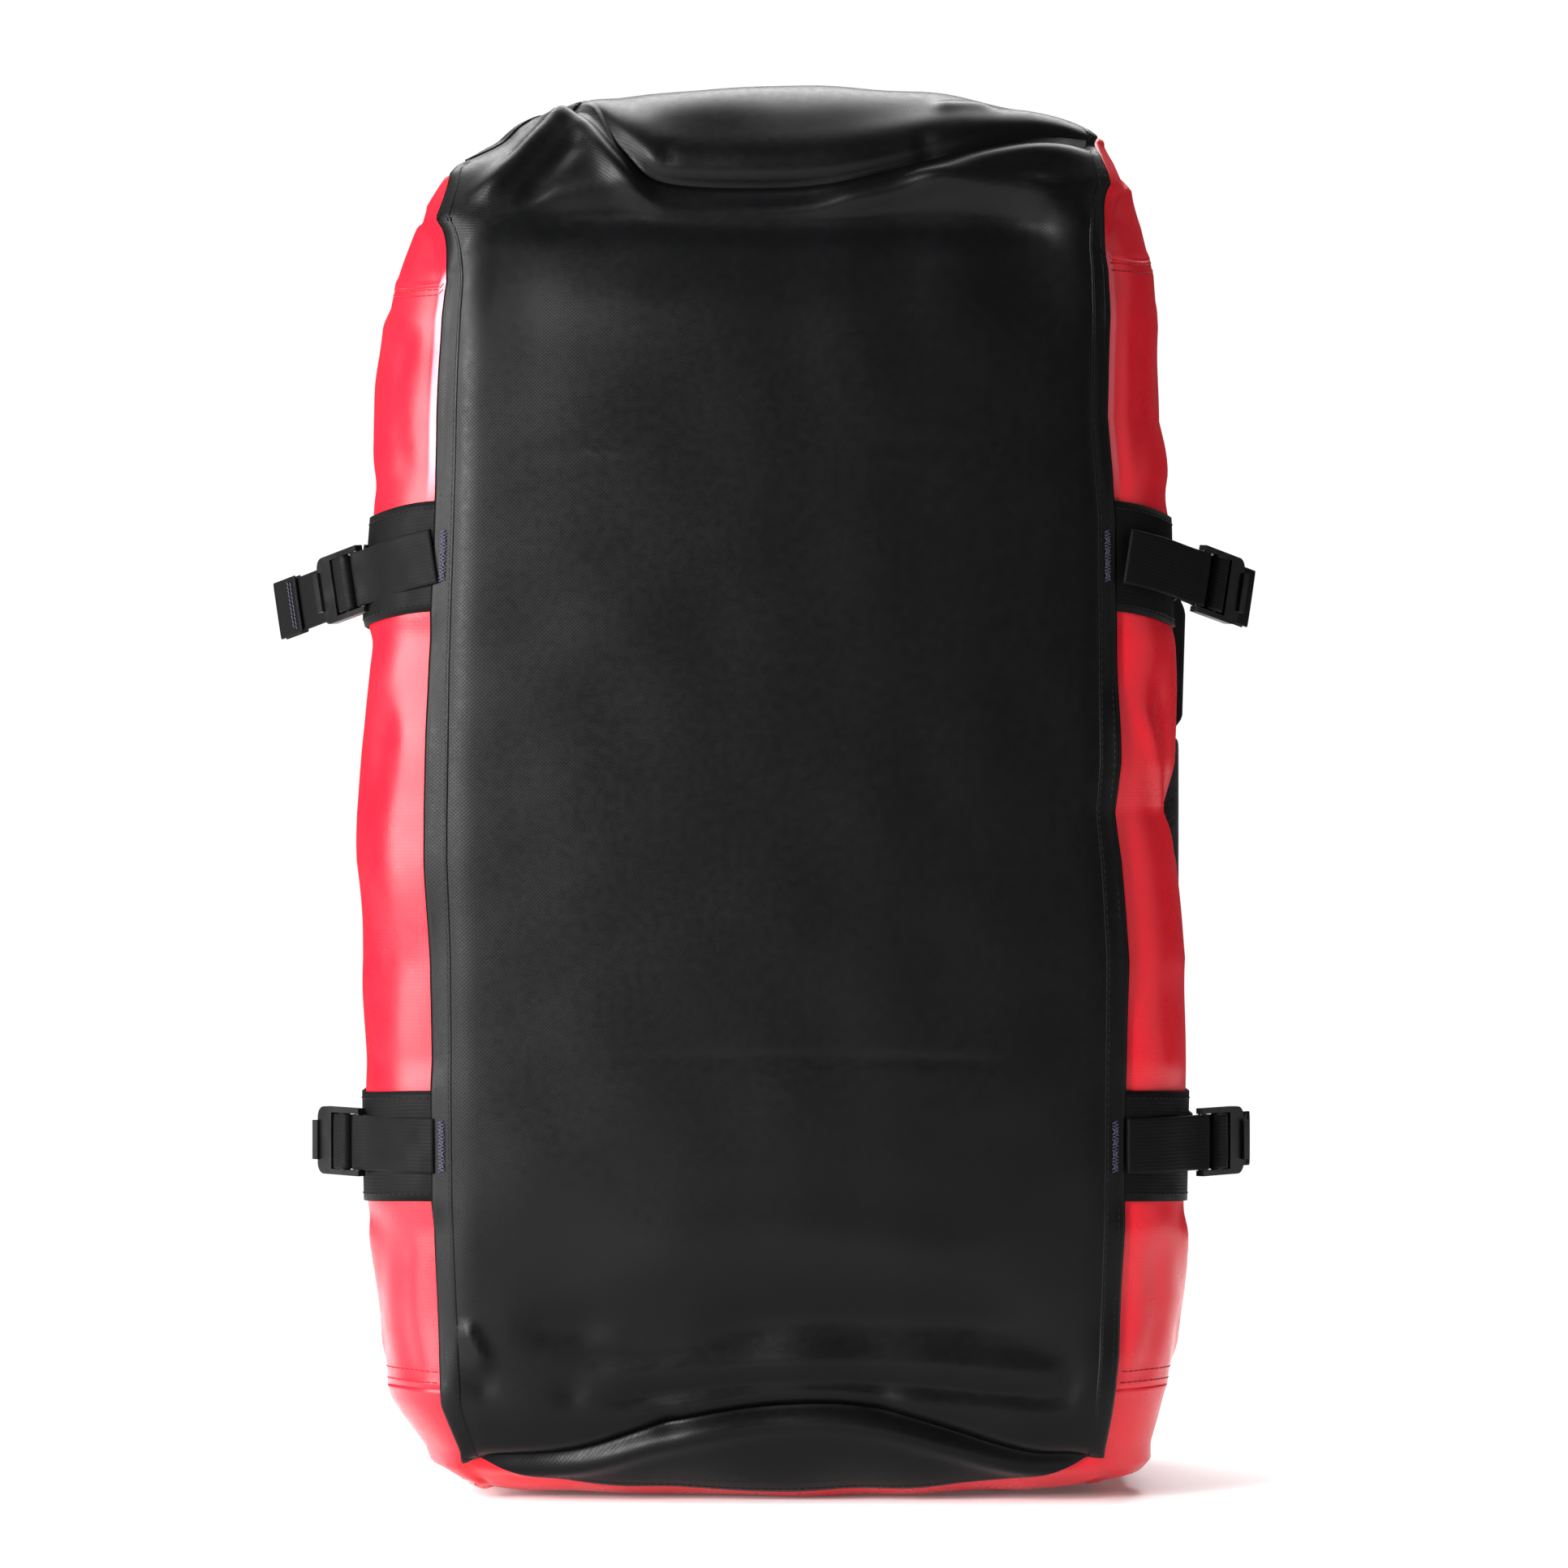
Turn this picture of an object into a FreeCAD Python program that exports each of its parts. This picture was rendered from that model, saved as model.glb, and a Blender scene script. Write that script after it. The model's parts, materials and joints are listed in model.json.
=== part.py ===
# Expedition duffel, about 70 litres, standing on one end, in millimetres.
#
# +Z runs along the bag, from the end it stands on to the upper end. -Y is the flat base side
# with the black panel, +Y is the round zip side and X is the width. The origin is on the lower
# end's flat face, at the middle of the width. Offsets are measured outward from the outer face
# of the red laminate. The right-hand side is made first and the left is its mirror image.

import FreeCAD, Part
import math
import os

V = FreeCAD.Vector

# Body
HEIGHT = 645.0  # end to end
HALF_WIDTH = 188.0  # also the radius of the round zip side
BASE_Y = -168.0  # outer face of the base laminate
AXIS_Y = -24.0  # axis of the round zip side
CORNER_R = 52.0  # between base and sides
END_R = 48.0  # between the walls and the ends
WALL = 2.0  # laminate with its lining

# Base panel and end patches
BASE_PANEL_HALF = 155.0
BASE_PANEL_T = 2.0
BASE_PANEL_INSET = 18.0  # from each end
BASE_PANEL_CORNER = 40.0
PATCH_T = 1.2
PATCH_DEPTH = 34.0  # how far it reaches onto the end

# Lid and zip. The zip follows a D on the round side, drawn as seen along Y.
HINGE_X = 134.0
ZIP_X = -134.0
ZIP_LOW = 84.0
ZIP_HIGH = 561.0
ZIP_CORNER = 60.0
ZIP_GAP = 1.2  # from the zip's middle to each coil, with the zip undone
COIL_W = 3.2
TAPE_W = 16.0
FABRIC_EDGE = 9.0  # from the zip's middle to the fabric
GARAGE = 30.0  # zip beyond the hinge line, where a slider parks
SLIDER_ANGLE = 52.0  # parked slider, from +Y towards +X

# Webbing
BAND_W = 50.0
BAND_T = 1.4
STRAP_W = 25.0
STRAP_T = 1.4
BAND_LOW_Z = 163.0
BAND_HIGH_Z = 430.0
BAND_END = 27.0  # on the round side, degrees up from +X
DROOP = 11.0  # how far the upper buckles hang below their bands, degrees

# Handles
HANDLE_ANGLE = 73.0  # side handles, from +Y
HANDLE_LIFT = 24.0
SIDE_SPAN = (BAND_HIGH_Z - BAND_LOW_Z) / 2
END_SPAN = 85.0
END_HANDLE_Y = 60.0
GRIP_R = 9.0
GRIP_HALF = 60.0
ROD_R = 3.2
AXIS_HEIGHT = 3.5  # a handle's turning line above its sewn tabs
TAB_T = 1.6
SIDE_LEAN = 75.0  # how far a stored side handle lies over
END_LEAN = 78.0
RECESS_DEPTH = 23.0
RECESS_HALF = 98.0
RECESS_Y = (44.0, 98.0)

# Shoulder straps
SHOULDER_ANGLE = 53.0
SHOULDER_LOW = 105.0
SHOULDER_HIGH = 540.0
SHOULDER_BOW = 30.0
SHOULDER_W = 52.0
SHOULDER_T = 12.0
SHOULDER_HEIGHT = 4.4  # turning line above the skin
SHOULDER_NECK = 14.0  # gathered webbing at each anchor
NECK_R = 2.4
PAD_LOW = 226.0
PAD_HIGH = 480.0

# Worked out
FLAT = HALF_WIDTH - CORNER_R
TOP_START = 29.0  # where the round side's panels begin, degrees up from +X
CORNER_Y = BASE_Y + CORNER_R
BAND_START = math.degrees(math.asin((BASE_PANEL_HALF + 0.5 - FLAT) / CORNER_R))
FAR = 400.0  # beyond everything


def box(x0, x1, y0, y1, z0, z1):
    return Part.makeBox(x1 - x0, y1 - y0, z1 - z0, V(x0, y0, z0))


def corner_point(offset, degrees):
    """On the right-hand corner, degrees round from straight down the base."""
    a = math.radians(degrees)
    r = CORNER_R + offset
    return V(FLAT + r * math.sin(a), CORNER_Y - r * math.cos(a), 0)


def round_point(offset, degrees):
    """On the round side, degrees up from +X."""
    a = math.radians(degrees)
    r = HALF_WIDTH + offset
    return V(r * math.cos(a), AXIS_Y + r * math.sin(a), 0)


def line(a, b):
    return Part.LineSegment(a, b).toShape()


def arc(a, middle, b):
    return Part.Arc(a, middle, b).toShape()


def prism(edges, z0, z1):
    """The closed outline in edges, which lie in the XY plane, from height z0 to z1."""
    face = Part.Face(Part.Wire(edges))
    face.translate(V(0, 0, z0))
    return face.extrude(V(0, 0, z1 - z0))


def mirrored(shape):
    return shape.mirror(V(0, 0, 0), V(1, 0, 0))


def left_of(point):
    return V(-point.x, point.y, point.z)


def on_side(shape, side):
    return shape if side == "right" else mirrored(shape)


def solid_at(offset):
    """The bag's outer form, grown by offset."""
    right, base = HALF_WIDTH + offset, BASE_Y - offset
    outline = [
        line(V(-FLAT, base, 0), V(FLAT, base, 0)),
        arc(V(FLAT, base, 0), corner_point(offset, 45), V(right, CORNER_Y, 0)),
        line(V(right, CORNER_Y, 0), V(right, AXIS_Y, 0)),
        arc(V(right, AXIS_Y, 0), round_point(offset, 90), V(-right, AXIS_Y, 0)),
        line(V(-right, AXIS_Y, 0), V(-right, CORNER_Y, 0)),
        arc(V(-right, CORNER_Y, 0), left_of(corner_point(offset, 45)), V(-FLAT, base, 0)),
    ]
    solid = prism(outline, -offset, HEIGHT + offset)
    rims = [e for e in solid.Edges if e.BoundBox.ZLength < 1e-6]
    return solid.makeFillet(END_R + offset, rims)


def skin(inner, outer):
    """A layer that follows the bag all round, between two offsets."""
    return solid_at(outer).cut(solid_at(inner))


def strip(inner, outer, start, end, z0, z1):
    """A layer on the right, from start degrees on the corner to end degrees on the round side."""
    middle = (start + 90) / 2
    edges = [
        arc(corner_point(outer, start), corner_point(outer, middle), V(HALF_WIDTH + outer, CORNER_Y, 0)),
        line(V(HALF_WIDTH + outer, CORNER_Y, 0), V(HALF_WIDTH + outer, AXIS_Y, 0)),
        arc(V(HALF_WIDTH + outer, AXIS_Y, 0), round_point(outer, end / 2), round_point(outer, end)),
        line(round_point(outer, end), round_point(inner, end)),
        arc(round_point(inner, end), round_point(inner, end / 2), V(HALF_WIDTH + inner, AXIS_Y, 0)),
        line(V(HALF_WIDTH + inner, AXIS_Y, 0), V(HALF_WIDTH + inner, CORNER_Y, 0)),
        arc(V(HALF_WIDTH + inner, CORNER_Y, 0), corner_point(inner, middle), corner_point(inner, start)),
        line(corner_point(inner, start), corner_point(outer, start)),
    ]
    return prism(edges, z0, z1)


def round_strip(inner, outer, start, end, z0, z1):
    """A layer on the round side between two angles up from +X."""
    middle = (start + end) / 2
    edges = [
        arc(round_point(outer, start), round_point(outer, middle), round_point(outer, end)),
        line(round_point(outer, end), round_point(inner, end)),
        arc(round_point(inner, end), round_point(inner, middle), round_point(inner, start)),
        line(round_point(inner, start), round_point(outer, start)),
    ]
    return prism(edges, z0, z1)


def seen_along_y(x0, x1, z0, z1, left_r, right_r, y0, y1):
    """A prism along Y. Its outline in X and Z is a rectangle with rounded left and right corners."""
    block = box(x0, x1, y0, y1, z0, z1)
    for radius, x in ((left_r, x0), (right_r, x1)):
        if radius:
            block = block.makeFillet(radius, [e for e in edges_along_y(block) if at_x(e, x)])
    return block


def edges_along_y(shape):
    boxes = [(e, e.BoundBox) for e in shape.Edges]
    return [e for e, b in boxes if b.YLength > 1 and b.XLength + b.ZLength < 1e-3]


def at_x(edge, x):
    return abs(edge.BoundBox.XMin - x) < 1e-3


def zip_outline(grow, hinge=0.0):
    """The zip's D grown outwards, as a prism through the round side only."""
    return seen_along_y(ZIP_X - grow, HINGE_X + hinge, ZIP_LOW - grow, ZIP_HIGH + grow,
                        ZIP_CORNER + grow, 0, 0, FAR)


def export(name, *shapes):
    solids = [solid for shape in shapes for solid in shape.Solids]
    shape = solids[0] if len(solids) == 1 else Part.makeCompound(solids)
    shape.exportStep(f"parts/{name}.step")
    print(f"{name:24s} {len(solids)} solids, valid {shape.isValid()}, {shape.Volume / 1000:9.2f} cm3")


# Walls


def patch_zone():
    """Where an end's black patch lies: inside an arc that starts and ends on the base's corners."""
    half = 150.0
    sagitta = PATCH_DEPTH - 8
    radius = (half * half + sagitta * sagitta) / (2 * sagitta)
    return Part.makeCylinder(radius, HEIGHT + 20, V(0, BASE_Y + PATCH_DEPTH - radius, -10))


def make_ends(wall):
    """The two red ends with their black patches. The lower end has a recess for its handle."""
    patch_layer = skin(-PATCH_T, 0).common(patch_zone())
    y0, y1 = RECESS_Y
    recess = box(-RECESS_HALF, RECESS_HALF, y0, y1, -1, RECESS_DEPTH)
    recess_wall = box(-RECESS_HALF - WALL, RECESS_HALF + WALL, y0 - WALL, y1 + WALL, 0, RECESS_DEPTH + WALL)
    for name, z0, z1 in (("bottom", -1, END_R), ("top", HEIGHT - END_R, HEIGHT + 1)):
        zone = box(-FAR, FAR, -FAR, FAR, z0, z1)
        patch = patch_layer.common(zone)
        cap = wall.common(zone).cut(patch)
        if name == "bottom":
            cap = cap.cut(recess).fuse(recess_wall.cut(recess)).removeSplitter()
        export(f"end_cap_{name}", cap)
        export(f"end_patch_{name}", patch)


def make_walls():
    wall = skin(-WALL, 0)
    make_ends(wall)
    low, high = END_R, HEIGHT - END_R
    seam = 11.0  # between base and sides, degrees round the corner
    middle = wall.common(box(-FAR, FAR, -FAR, FAR, low, high))
    right = strip(-WALL, 0, seam, TOP_START, low, high)
    left = mirrored(right)
    export("base_lining", middle.common(box(-FLAT - 20, FLAT + 20, -FAR, -100, low, high)).cut([right, left]))
    export("side_panel_right", right)
    export("side_panel_left", left)
    slots = Part.makeCompound([
        box(HINGE_X, HINGE_X + GARAGE, 0, FAR, z - FABRIC_EDGE, z + FABRIC_EDGE)
        for z in (ZIP_LOW, ZIP_HIGH)
    ])
    top = on_round_side(-WALL, 0)
    export("top_panel", top.cut(zip_outline(FABRIC_EDGE, 0.5)).cut(slots))
    bindings = skin(-WALL - 1.8, -WALL)
    export("seam_bindings", *[
        bindings.common(box(-FAR, FAR, -FAR, FAR, z - 9, z + 9)) for z in (END_R, HEIGHT - END_R)
    ])
    panel_zone = seen_along_y(-BASE_PANEL_HALF, BASE_PANEL_HALF, BASE_PANEL_INSET, HEIGHT - BASE_PANEL_INSET,
                              BASE_PANEL_CORNER, BASE_PANEL_CORNER, -FAR, -120)
    export("base_panel", skin(0, BASE_PANEL_T).common(panel_zone))


# Lid and zip


def on_round_side(inner, outer):
    """A layer over the whole round side, between the side panels."""
    return round_strip(inner, outer, TOP_START, 180 - TOP_START, END_R, HEIGHT - END_R)


def make_lid():
    export("lid_panel", on_round_side(-WALL, 0).common(zip_outline(-FABRIC_EDGE, -0.5)))
    tape = on_round_side(-3.0, -2.1)
    coil = on_round_side(-2.0, 1.0)
    export("zip_tape_lid", tape.common(zip_outline(-2, -1)).cut(zip_outline(-TAPE_W, 1)))
    coil_edge = ZIP_GAP + COIL_W
    export("zip_coil_lid", coil.common(zip_outline(-ZIP_GAP, -1)).cut(zip_outline(-coil_edge, 1)))
    # The body's half runs on past the hinge line with both rows, to the slider's garage.
    x0, x1 = HINGE_X + 0.5, HINGE_X + GARAGE
    tape_rows, coil_rows = [], []
    for z in (ZIP_LOW, ZIP_HIGH):
        for side in (-1, 1):
            tape_z = sorted((z + side * 2, z + side * TAPE_W))
            coil_z = sorted((z + side * ZIP_GAP, z + side * coil_edge))
            tape_rows.append(tape.common(box(x0, x1, 0, FAR, *tape_z)))
            coil_rows.append(coil.common(box(x0, x1, 0, FAR, *coil_z)))
    export("zip_tape_body", tape.common(zip_outline(TAPE_W)).cut(zip_outline(2, 1)), *tape_rows)
    export("zip_coil_body", coil.common(zip_outline(coil_edge)).cut(zip_outline(ZIP_GAP, 1)), *coil_rows)
    make_pocket()
    make_window()


def make_pocket():
    """A flat mesh pocket under the lid, bound round its edge, with a straight zip along it."""
    low, high, half, hem = 131.0, 514.0, 104.0, 8.0
    mesh = on_round_side(-4.6, -3.4)
    inner = box(-half + hem, half - hem, 0, FAR, low + hem, high - hem)
    binding = on_round_side(-4.6, -2.1).common(box(-half, half, 0, FAR, low, high)).cut(inner)
    export("pocket_binding", binding)
    zip_x, zip_half = -60.0, 12.0
    slot = box(zip_x - zip_half, zip_x + zip_half, 0, FAR, low, high)
    export("pocket_mesh", mesh.common(inner).cut(slot))
    reach = zip_half - 0.2
    strip_zone = box(zip_x - reach, zip_x + reach, 0, FAR, low + hem + 0.2, high - hem - 0.2)
    coil_zone = box(zip_x - 2.5, zip_x + 2.5, 0, FAR, low + hem + 1, high - hem - 1)
    coil = on_round_side(-6.4, -4.6).common(coil_zone)
    export("pocket_zip", mesh.common(strip_zone).fuse(coil).removeSplitter())
    slider = box(-6, 6, -9.4, -7.0, -9, 9)
    flange = box(-6, -3.6, -7.0, -5.2, -9, 9)
    ring = box(-3, 3, -17.5, -9.4, -1.4, 1.4).cut(box(-1.6, 1.6, -16, -10.8, -2, 2))
    slider = slider.fuse([flange, mirrored(flange), ring]).removeSplitter()
    slider.translate(V(0, HALF_WIDTH, 0))
    slider.rotate(V(0, 0, 0), V(0, 0, 1), -math.degrees(math.asin(zip_x / (HALF_WIDTH - 5))))
    slider.translate(V(0, AXIS_Y, 480))
    export("pocket_slider", slider)


def make_window():
    """The card window near the lid's upper end: woven border, card, clear cover."""
    def zone(margin):
        return box(-54 + margin, 54 - margin, 0, FAR, 425 + margin, 497 - margin)

    export("id_frame", on_round_side(0.1, 1.4).common(zone(0)).cut(zone(9)))
    export("id_card", on_round_side(0.1, 0.5).common(zone(11)))
    export("id_window", on_round_side(0.7, 1.2).common(zone(9.2)))


def make_slider():
    """A zip slider at the top of the round side, centred on z 0, with its travel along X."""
    half = 3.2  # degrees
    plate = 6.4

    def slab(inner, outer, span, z0, z1):
        return round_strip(inner, outer, 90 - span, 90 + span, z0, z1)

    top = slab(1.4, 3.0, half, -plate, plate)
    bottom = slab(-5.0, -3.5, half, -plate, plate)
    post = slab(-4.5, 2.2, 0.9, -0.85, 0.85)
    lips = [slab(-1.6, 1.6, half, z0, z0 + 1.5) for z0 in (-plate, plate - 1.5)]
    bridge = slab(2.5, 7.2, 1.1, -2.2, 2.2)
    eye = Part.makeCylinder(1.5, 20, V(0, AXIS_Y + HALF_WIDTH + 5.2, -10))
    return top.fuse([bottom, post, bridge, *lips]).removeSplitter().cut(eye)


def make_pull():
    """The slider's pull, lying towards +X, with its pin through the slider's bridge."""
    y = AXIS_Y + HALF_WIDTH + 5.2
    pin = Part.makeCylinder(1.44, 9.6, V(0, y, -4.8))
    ears = [box(-1.5, 9, y - 1.4, y + 1.4, z0, z0 + 2.2) for z0 in (-4.8, 2.6)]
    tab = box(7, 36, y - 1.2, y + 1.2, -5.5, 5.5)
    tab = tab.makeFillet(4, [e for e in edges_along_y(tab) if at_x(e, 36)])
    hole = Part.makeCylinder(2.0, 10, V(30, y - 5, 0), V(0, 1, 0))
    return pin.fuse([*ears, tab.cut(hole)]).removeSplitter()


def make_sliders():
    for name, z in (("bottom", ZIP_LOW), ("top", ZIP_HIGH)):
        for kind, shape in (("slider", make_slider()), ("pull", make_pull())):
            shape.rotate(V(0, AXIS_Y, 0), V(0, 0, 1), -SLIDER_ANGLE)
            shape.translate(V(0, 0, z))
            export(f"zip_{kind}_{name}", shape)
    export("zip_end_tabs", *[
        round_strip(0.1, 3.0, 90 - 67.0, 90 - 62.0, z - 9, z + 9) for z in (ZIP_LOW, ZIP_HIGH)
    ])


# Ladder locks. Local axes: X along the strap from the anchor bar, Y towards the bag, Z across the strap.

LOCK_LEAVES = 52.0  # where the anchor strap leaves the corner, degrees
LOCK_REACH = 22.0  # from there to the lock's anchor bar
ANCHOR_OFFSET = 2.8  # the anchor strap's middle above the skin
ENTRY_X = 7.0  # where the strap comes up through the lock
RETURN_X = 16.5  # and where it goes back down
UNDER = 5.2  # how far under the lock the strap comes in


def ladder_lock():
    frame = box(-1.9, 31, -2, 2, -15.5, 15.5)
    frame = frame.makeFillet(5, [e for e in edges_along_y(frame) if at_x(e, 31)])
    slots = [box(-5, 10, -5, 5, -13, 13), box(13, 20, -5, 5, -13, 13)]
    bar = Part.makeCylinder(1.9, 28, V(0, 0, -14))
    lip = box(29, 33, -3.6, -1.0, -9, 9)
    return frame.cut(slots).fuse([bar, lip]).removeSplitter()


def bar_loop(reach):
    """A strap's sewn loop round the anchor bar, with its leg."""
    w, t = STRAP_W / 2, STRAP_T / 2
    leg = box(-reach, 0, -t, t, -w, w)
    eye = Part.makeCylinder(3.5, STRAP_W, V(0, 0, -w))
    bore = Part.makeCylinder(2.25, STRAP_W + 4, V(0, 0, -w - 2))
    return leg.fuse(eye).cut(bore).removeSplitter()


def lock_tail(beyond, folded=False):
    """The strap up through the lock, over its middle bar and back down, with the free end."""
    t, w = STRAP_T / 2, STRAP_W / 2
    end = 31 + beyond
    over = box(ENTRY_X - t, RETURN_X + t, -3.2 - t, -3.2 + t, -w, w)
    down = box(RETURN_X - t, RETURN_X + t, -3.2 - t, 3.4 + t, -w, w)
    free = box(RETURN_X - t, end, 3.4 - t, 3.4 + t, -w, w)
    pieces = [over, down, free]
    if folded:
        pieces.append(box(end - 18, end, 3.4 - t, 3.4 + 3 * t, -w - 1, w + 1))
    return box(ENTRY_X - t, ENTRY_X + t, -3.2 - t, UNDER, -w, w).fuse(pieces).removeSplitter()


def placed(shape, origin, along, inward):
    """Moves a shape from the lock's local axes."""
    moved = shape.copy()
    across = along.cross(inward)
    moved.Placement = FreeCAD.Placement(origin, FreeCAD.Rotation(along, inward, across, "XYZ"))
    return moved


# Bands and compression straps


def on_corner(shape):
    """Places a lock's shape where the anchor strap leaves the right-hand corner, at z 0."""
    a = math.radians(LOCK_LEAVES)
    along = V(math.cos(a), math.sin(a), 0)
    leaves = corner_point(ANCHOR_OFFSET, LOCK_LEAVES)
    return placed(shape, leaves + along * LOCK_REACH, along, V(-math.sin(a), math.cos(a), 0))


def anchor_strap():
    """From the base panel's edge round the corner to a sewn loop on the lock's anchor bar."""
    w, t = STRAP_W / 2, STRAP_T / 2
    inner, outer = ANCHOR_OFFSET - t, ANCHOR_OFFSET + t
    start, end = BAND_START + 0.3, LOCK_LEAVES
    middle = (start + end) / 2
    edges = [
        arc(corner_point(outer, start), corner_point(outer, middle), corner_point(outer, end)),
        line(corner_point(outer, end), corner_point(inner, end)),
        arc(corner_point(inner, end), corner_point(inner, middle), corner_point(inner, start)),
        line(corner_point(inner, start), corner_point(outer, start)),
    ]
    return prism(edges, -w, w).fuse(on_corner(bar_loop(LOCK_REACH))).removeSplitter()


def drooped(shape):
    """Hangs an upper buckle down from where its strap leaves the panel."""
    a = math.radians((BAND_START + LOCK_LEAVES) / 2)
    hung = shape.copy()
    hung.rotate(corner_point(ANCHOR_OFFSET, BAND_START), V(math.sin(a), -math.cos(a), 0), -DROOP)
    return hung


def make_straps():
    """Each corner has its own length of free strap, as straps are left after packing."""
    free_ends = {
        "low_left": (1, False),
        "low_right": (12, False),
        "high_left": (42, True),
        "high_right": (14, True),
    }
    load_start = 78.0  # on the corner, where the strap drops from the lock onto the band
    load_end = 8.0
    for side in ("left", "right"):
        bands, loads = [], []
        for level, z in (("low", BAND_LOW_Z), ("high", BAND_HIGH_Z)):
            corner = f"{level}_{side}"
            pieces = {
                "anchor_strap": anchor_strap(),
                "ladder_lock": on_corner(ladder_lock()),
                "strap_tail": on_corner(lock_tail(*free_ends[corner])),
            }
            for name, shape in pieces.items():
                shape = drooped(shape) if level == "high" else shape
                shape.translate(V(0, 0, z))
                export(f"{name}_{corner}", on_side(shape, side))
            band = strip(0.05, BAND_T, BAND_START, BAND_END, z - BAND_W / 2, z + BAND_W / 2)
            bands.append(on_side(band, side))
            load_z = z - 6 if level == "high" else z
            load = strip(BAND_T + 0.3, BAND_T + 0.3 + STRAP_T, load_start, load_end,
                         load_z - STRAP_W / 2, load_z + STRAP_W / 2)
            loads.append(on_side(load, side))
        export(f"side_bands_{side}", *bands)
        export(f"load_straps_{side}", *loads)


# Handles


def handle(span):
    """(webbing core, grip). It turns on the Z axis between -span and span, and stands out along +X."""
    ends = [V(0, 0, -span), V(HANDLE_LIFT, 0, -GRIP_HALF), V(HANDLE_LIFT, 0, GRIP_HALF), V(0, 0, span)]
    half_turn = (ends[0] - ends[1]).getAngle(ends[2] - ends[1]) / 2
    bend_r = 30.0
    back = bend_r / math.tan(half_turn)
    edges, start = [], ends[0]
    for before, corner, after in (ends[:3], ends[1:]):
        to_before, to_after = (before - corner).normalize(), (after - corner).normalize()
        bisector = (to_before + to_after).normalize()
        middle = corner + bisector * (bend_r / math.sin(half_turn) - bend_r)
        first, last = corner + to_before * back, corner + to_after * back
        edges += [line(start, first), arc(first, middle, last)]
        start = last
    edges.append(line(start, ends[3]))
    section = Part.Wire(Part.makeCircle(ROD_R, ends[0], ends[1] - ends[0]))
    core = Part.Wire(edges).makePipeShell([section], True, True)
    folds = [Part.makeCylinder(ROD_R, 22, V(0, 0, z - 11)) for z in (-span, span)]
    grip_half = GRIP_HALF - back - 1
    grip = Part.makeCylinder(GRIP_R, 2 * grip_half, V(HANDLE_LIFT, 0, -grip_half))
    bore = Part.makeCylinder(ROD_R + 0.2, 2 * grip_half + 2, V(HANDLE_LIFT, 0, -grip_half - 1))
    return core.fuse(folds), grip.cut(bore)


def make_side_handles():
    """They turn on sewn tabs on the side bands, and lie over towards the lid."""
    tabs = []
    angle = 90 - HANDLE_ANGLE
    at = round_point(BAND_T + TAB_T + AXIS_HEIGHT, angle)
    for side in ("right", "left"):
        for kind, shape in zip(("web", "grip"), handle(SIDE_SPAN)):
            shape.rotate(V(0, 0, 0), V(0, 0, 1), angle + SIDE_LEAN)
            shape.translate(at + V(0, 0, (BAND_LOW_Z + BAND_HIGH_Z) / 2))
            export(f"side_handle_{kind}_{side}", on_side(shape, side))
        for z in (BAND_LOW_Z, BAND_HIGH_Z):
            tab = round_strip(BAND_T + 0.1, BAND_T + TAB_T, angle - 5.5, angle + 5.5, z - 13, z + 13)
            tabs.append(on_side(tab, side))
    export("side_handle_tabs", *tabs)


def make_haul_handles():
    """One on each end, across the width. They lie over towards the zip side."""
    tabs = []
    for name, face, out in (("top", HEIGHT, 1), ("bottom", RECESS_DEPTH, -1)):
        for kind, shape in zip(("web", "grip"), handle(END_SPAN)):
            shape.rotate(V(0, 0, 0), V(0, 1, 0), -90)
            shape.rotate(V(0, 0, 0), V(1, 0, 0), -END_LEAN)
            if out < 0:
                shape = shape.mirror(V(0, 0, 0), V(0, 0, 1))
            shape.translate(V(0, END_HANDLE_Y, face + out * (TAB_T + AXIS_HEIGHT)))
            export(f"haul_handle_{kind}_{name}", shape)
        z0, z1 = sorted((face + out * 0.05, face + out * TAB_T))
        for x in (-END_SPAN, END_SPAN):
            tabs.append(box(x - 12.5, x + 12.5, END_HANDLE_Y - 15, END_HANDLE_Y + 15, z0, z1))
    export("haul_handle_tabs", *tabs)


# Shoulder straps. Local axes: X outward from the turning line, Y across the strap, Z up.


def bow_point(offset, z):
    """On the strap's bow, or beside it by offset."""
    reach = (SHOULDER_HIGH - SHOULDER_LOW) / 2
    radius = (reach * reach + SHOULDER_BOW * SHOULDER_BOW) / (2 * SHOULDER_BOW)
    rise = z - (SHOULDER_LOW + SHOULDER_HIGH) / 2
    r = radius + offset
    return V(SHOULDER_BOW - radius + math.sqrt(r * r - rise * rise), 0, z)


def bowed(thickness, width, z0, z1):
    t, middle = thickness / 2, (z0 + z1) / 2
    edges = [
        arc(bow_point(-t, z0), bow_point(-t, middle), bow_point(-t, z1)),
        line(bow_point(-t, z1), bow_point(t, z1)),
        arc(bow_point(t, z1), bow_point(t, middle), bow_point(t, z0)),
        line(bow_point(t, z0), bow_point(-t, z0)),
    ]
    face = Part.Face(Part.Wire(edges))
    face.translate(V(0, -width / 2, 0))
    return face.extrude(V(0, width, 0))


def plank(a, b):
    """A flat run of webbing between two points of the strap's middle plane."""
    along = (b - a).normalize()
    outward = V(0, 1, 0).cross(along)
    run = box(0, (b - a).Length, -STRAP_T / 2, STRAP_T / 2, -STRAP_W / 2, STRAP_W / 2)
    return placed(run, a, along, outward)


def neck(z):
    """Webbing gathered to a cord beside an anchor, from the turning line up to the flat webbing."""
    rise = bow_point(0, SHOULDER_LOW + SHOULDER_NECK).x
    return Part.makeCylinder(NECK_R, SHOULDER_NECK + 4, V(rise - NECK_R, 0, z))


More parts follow.
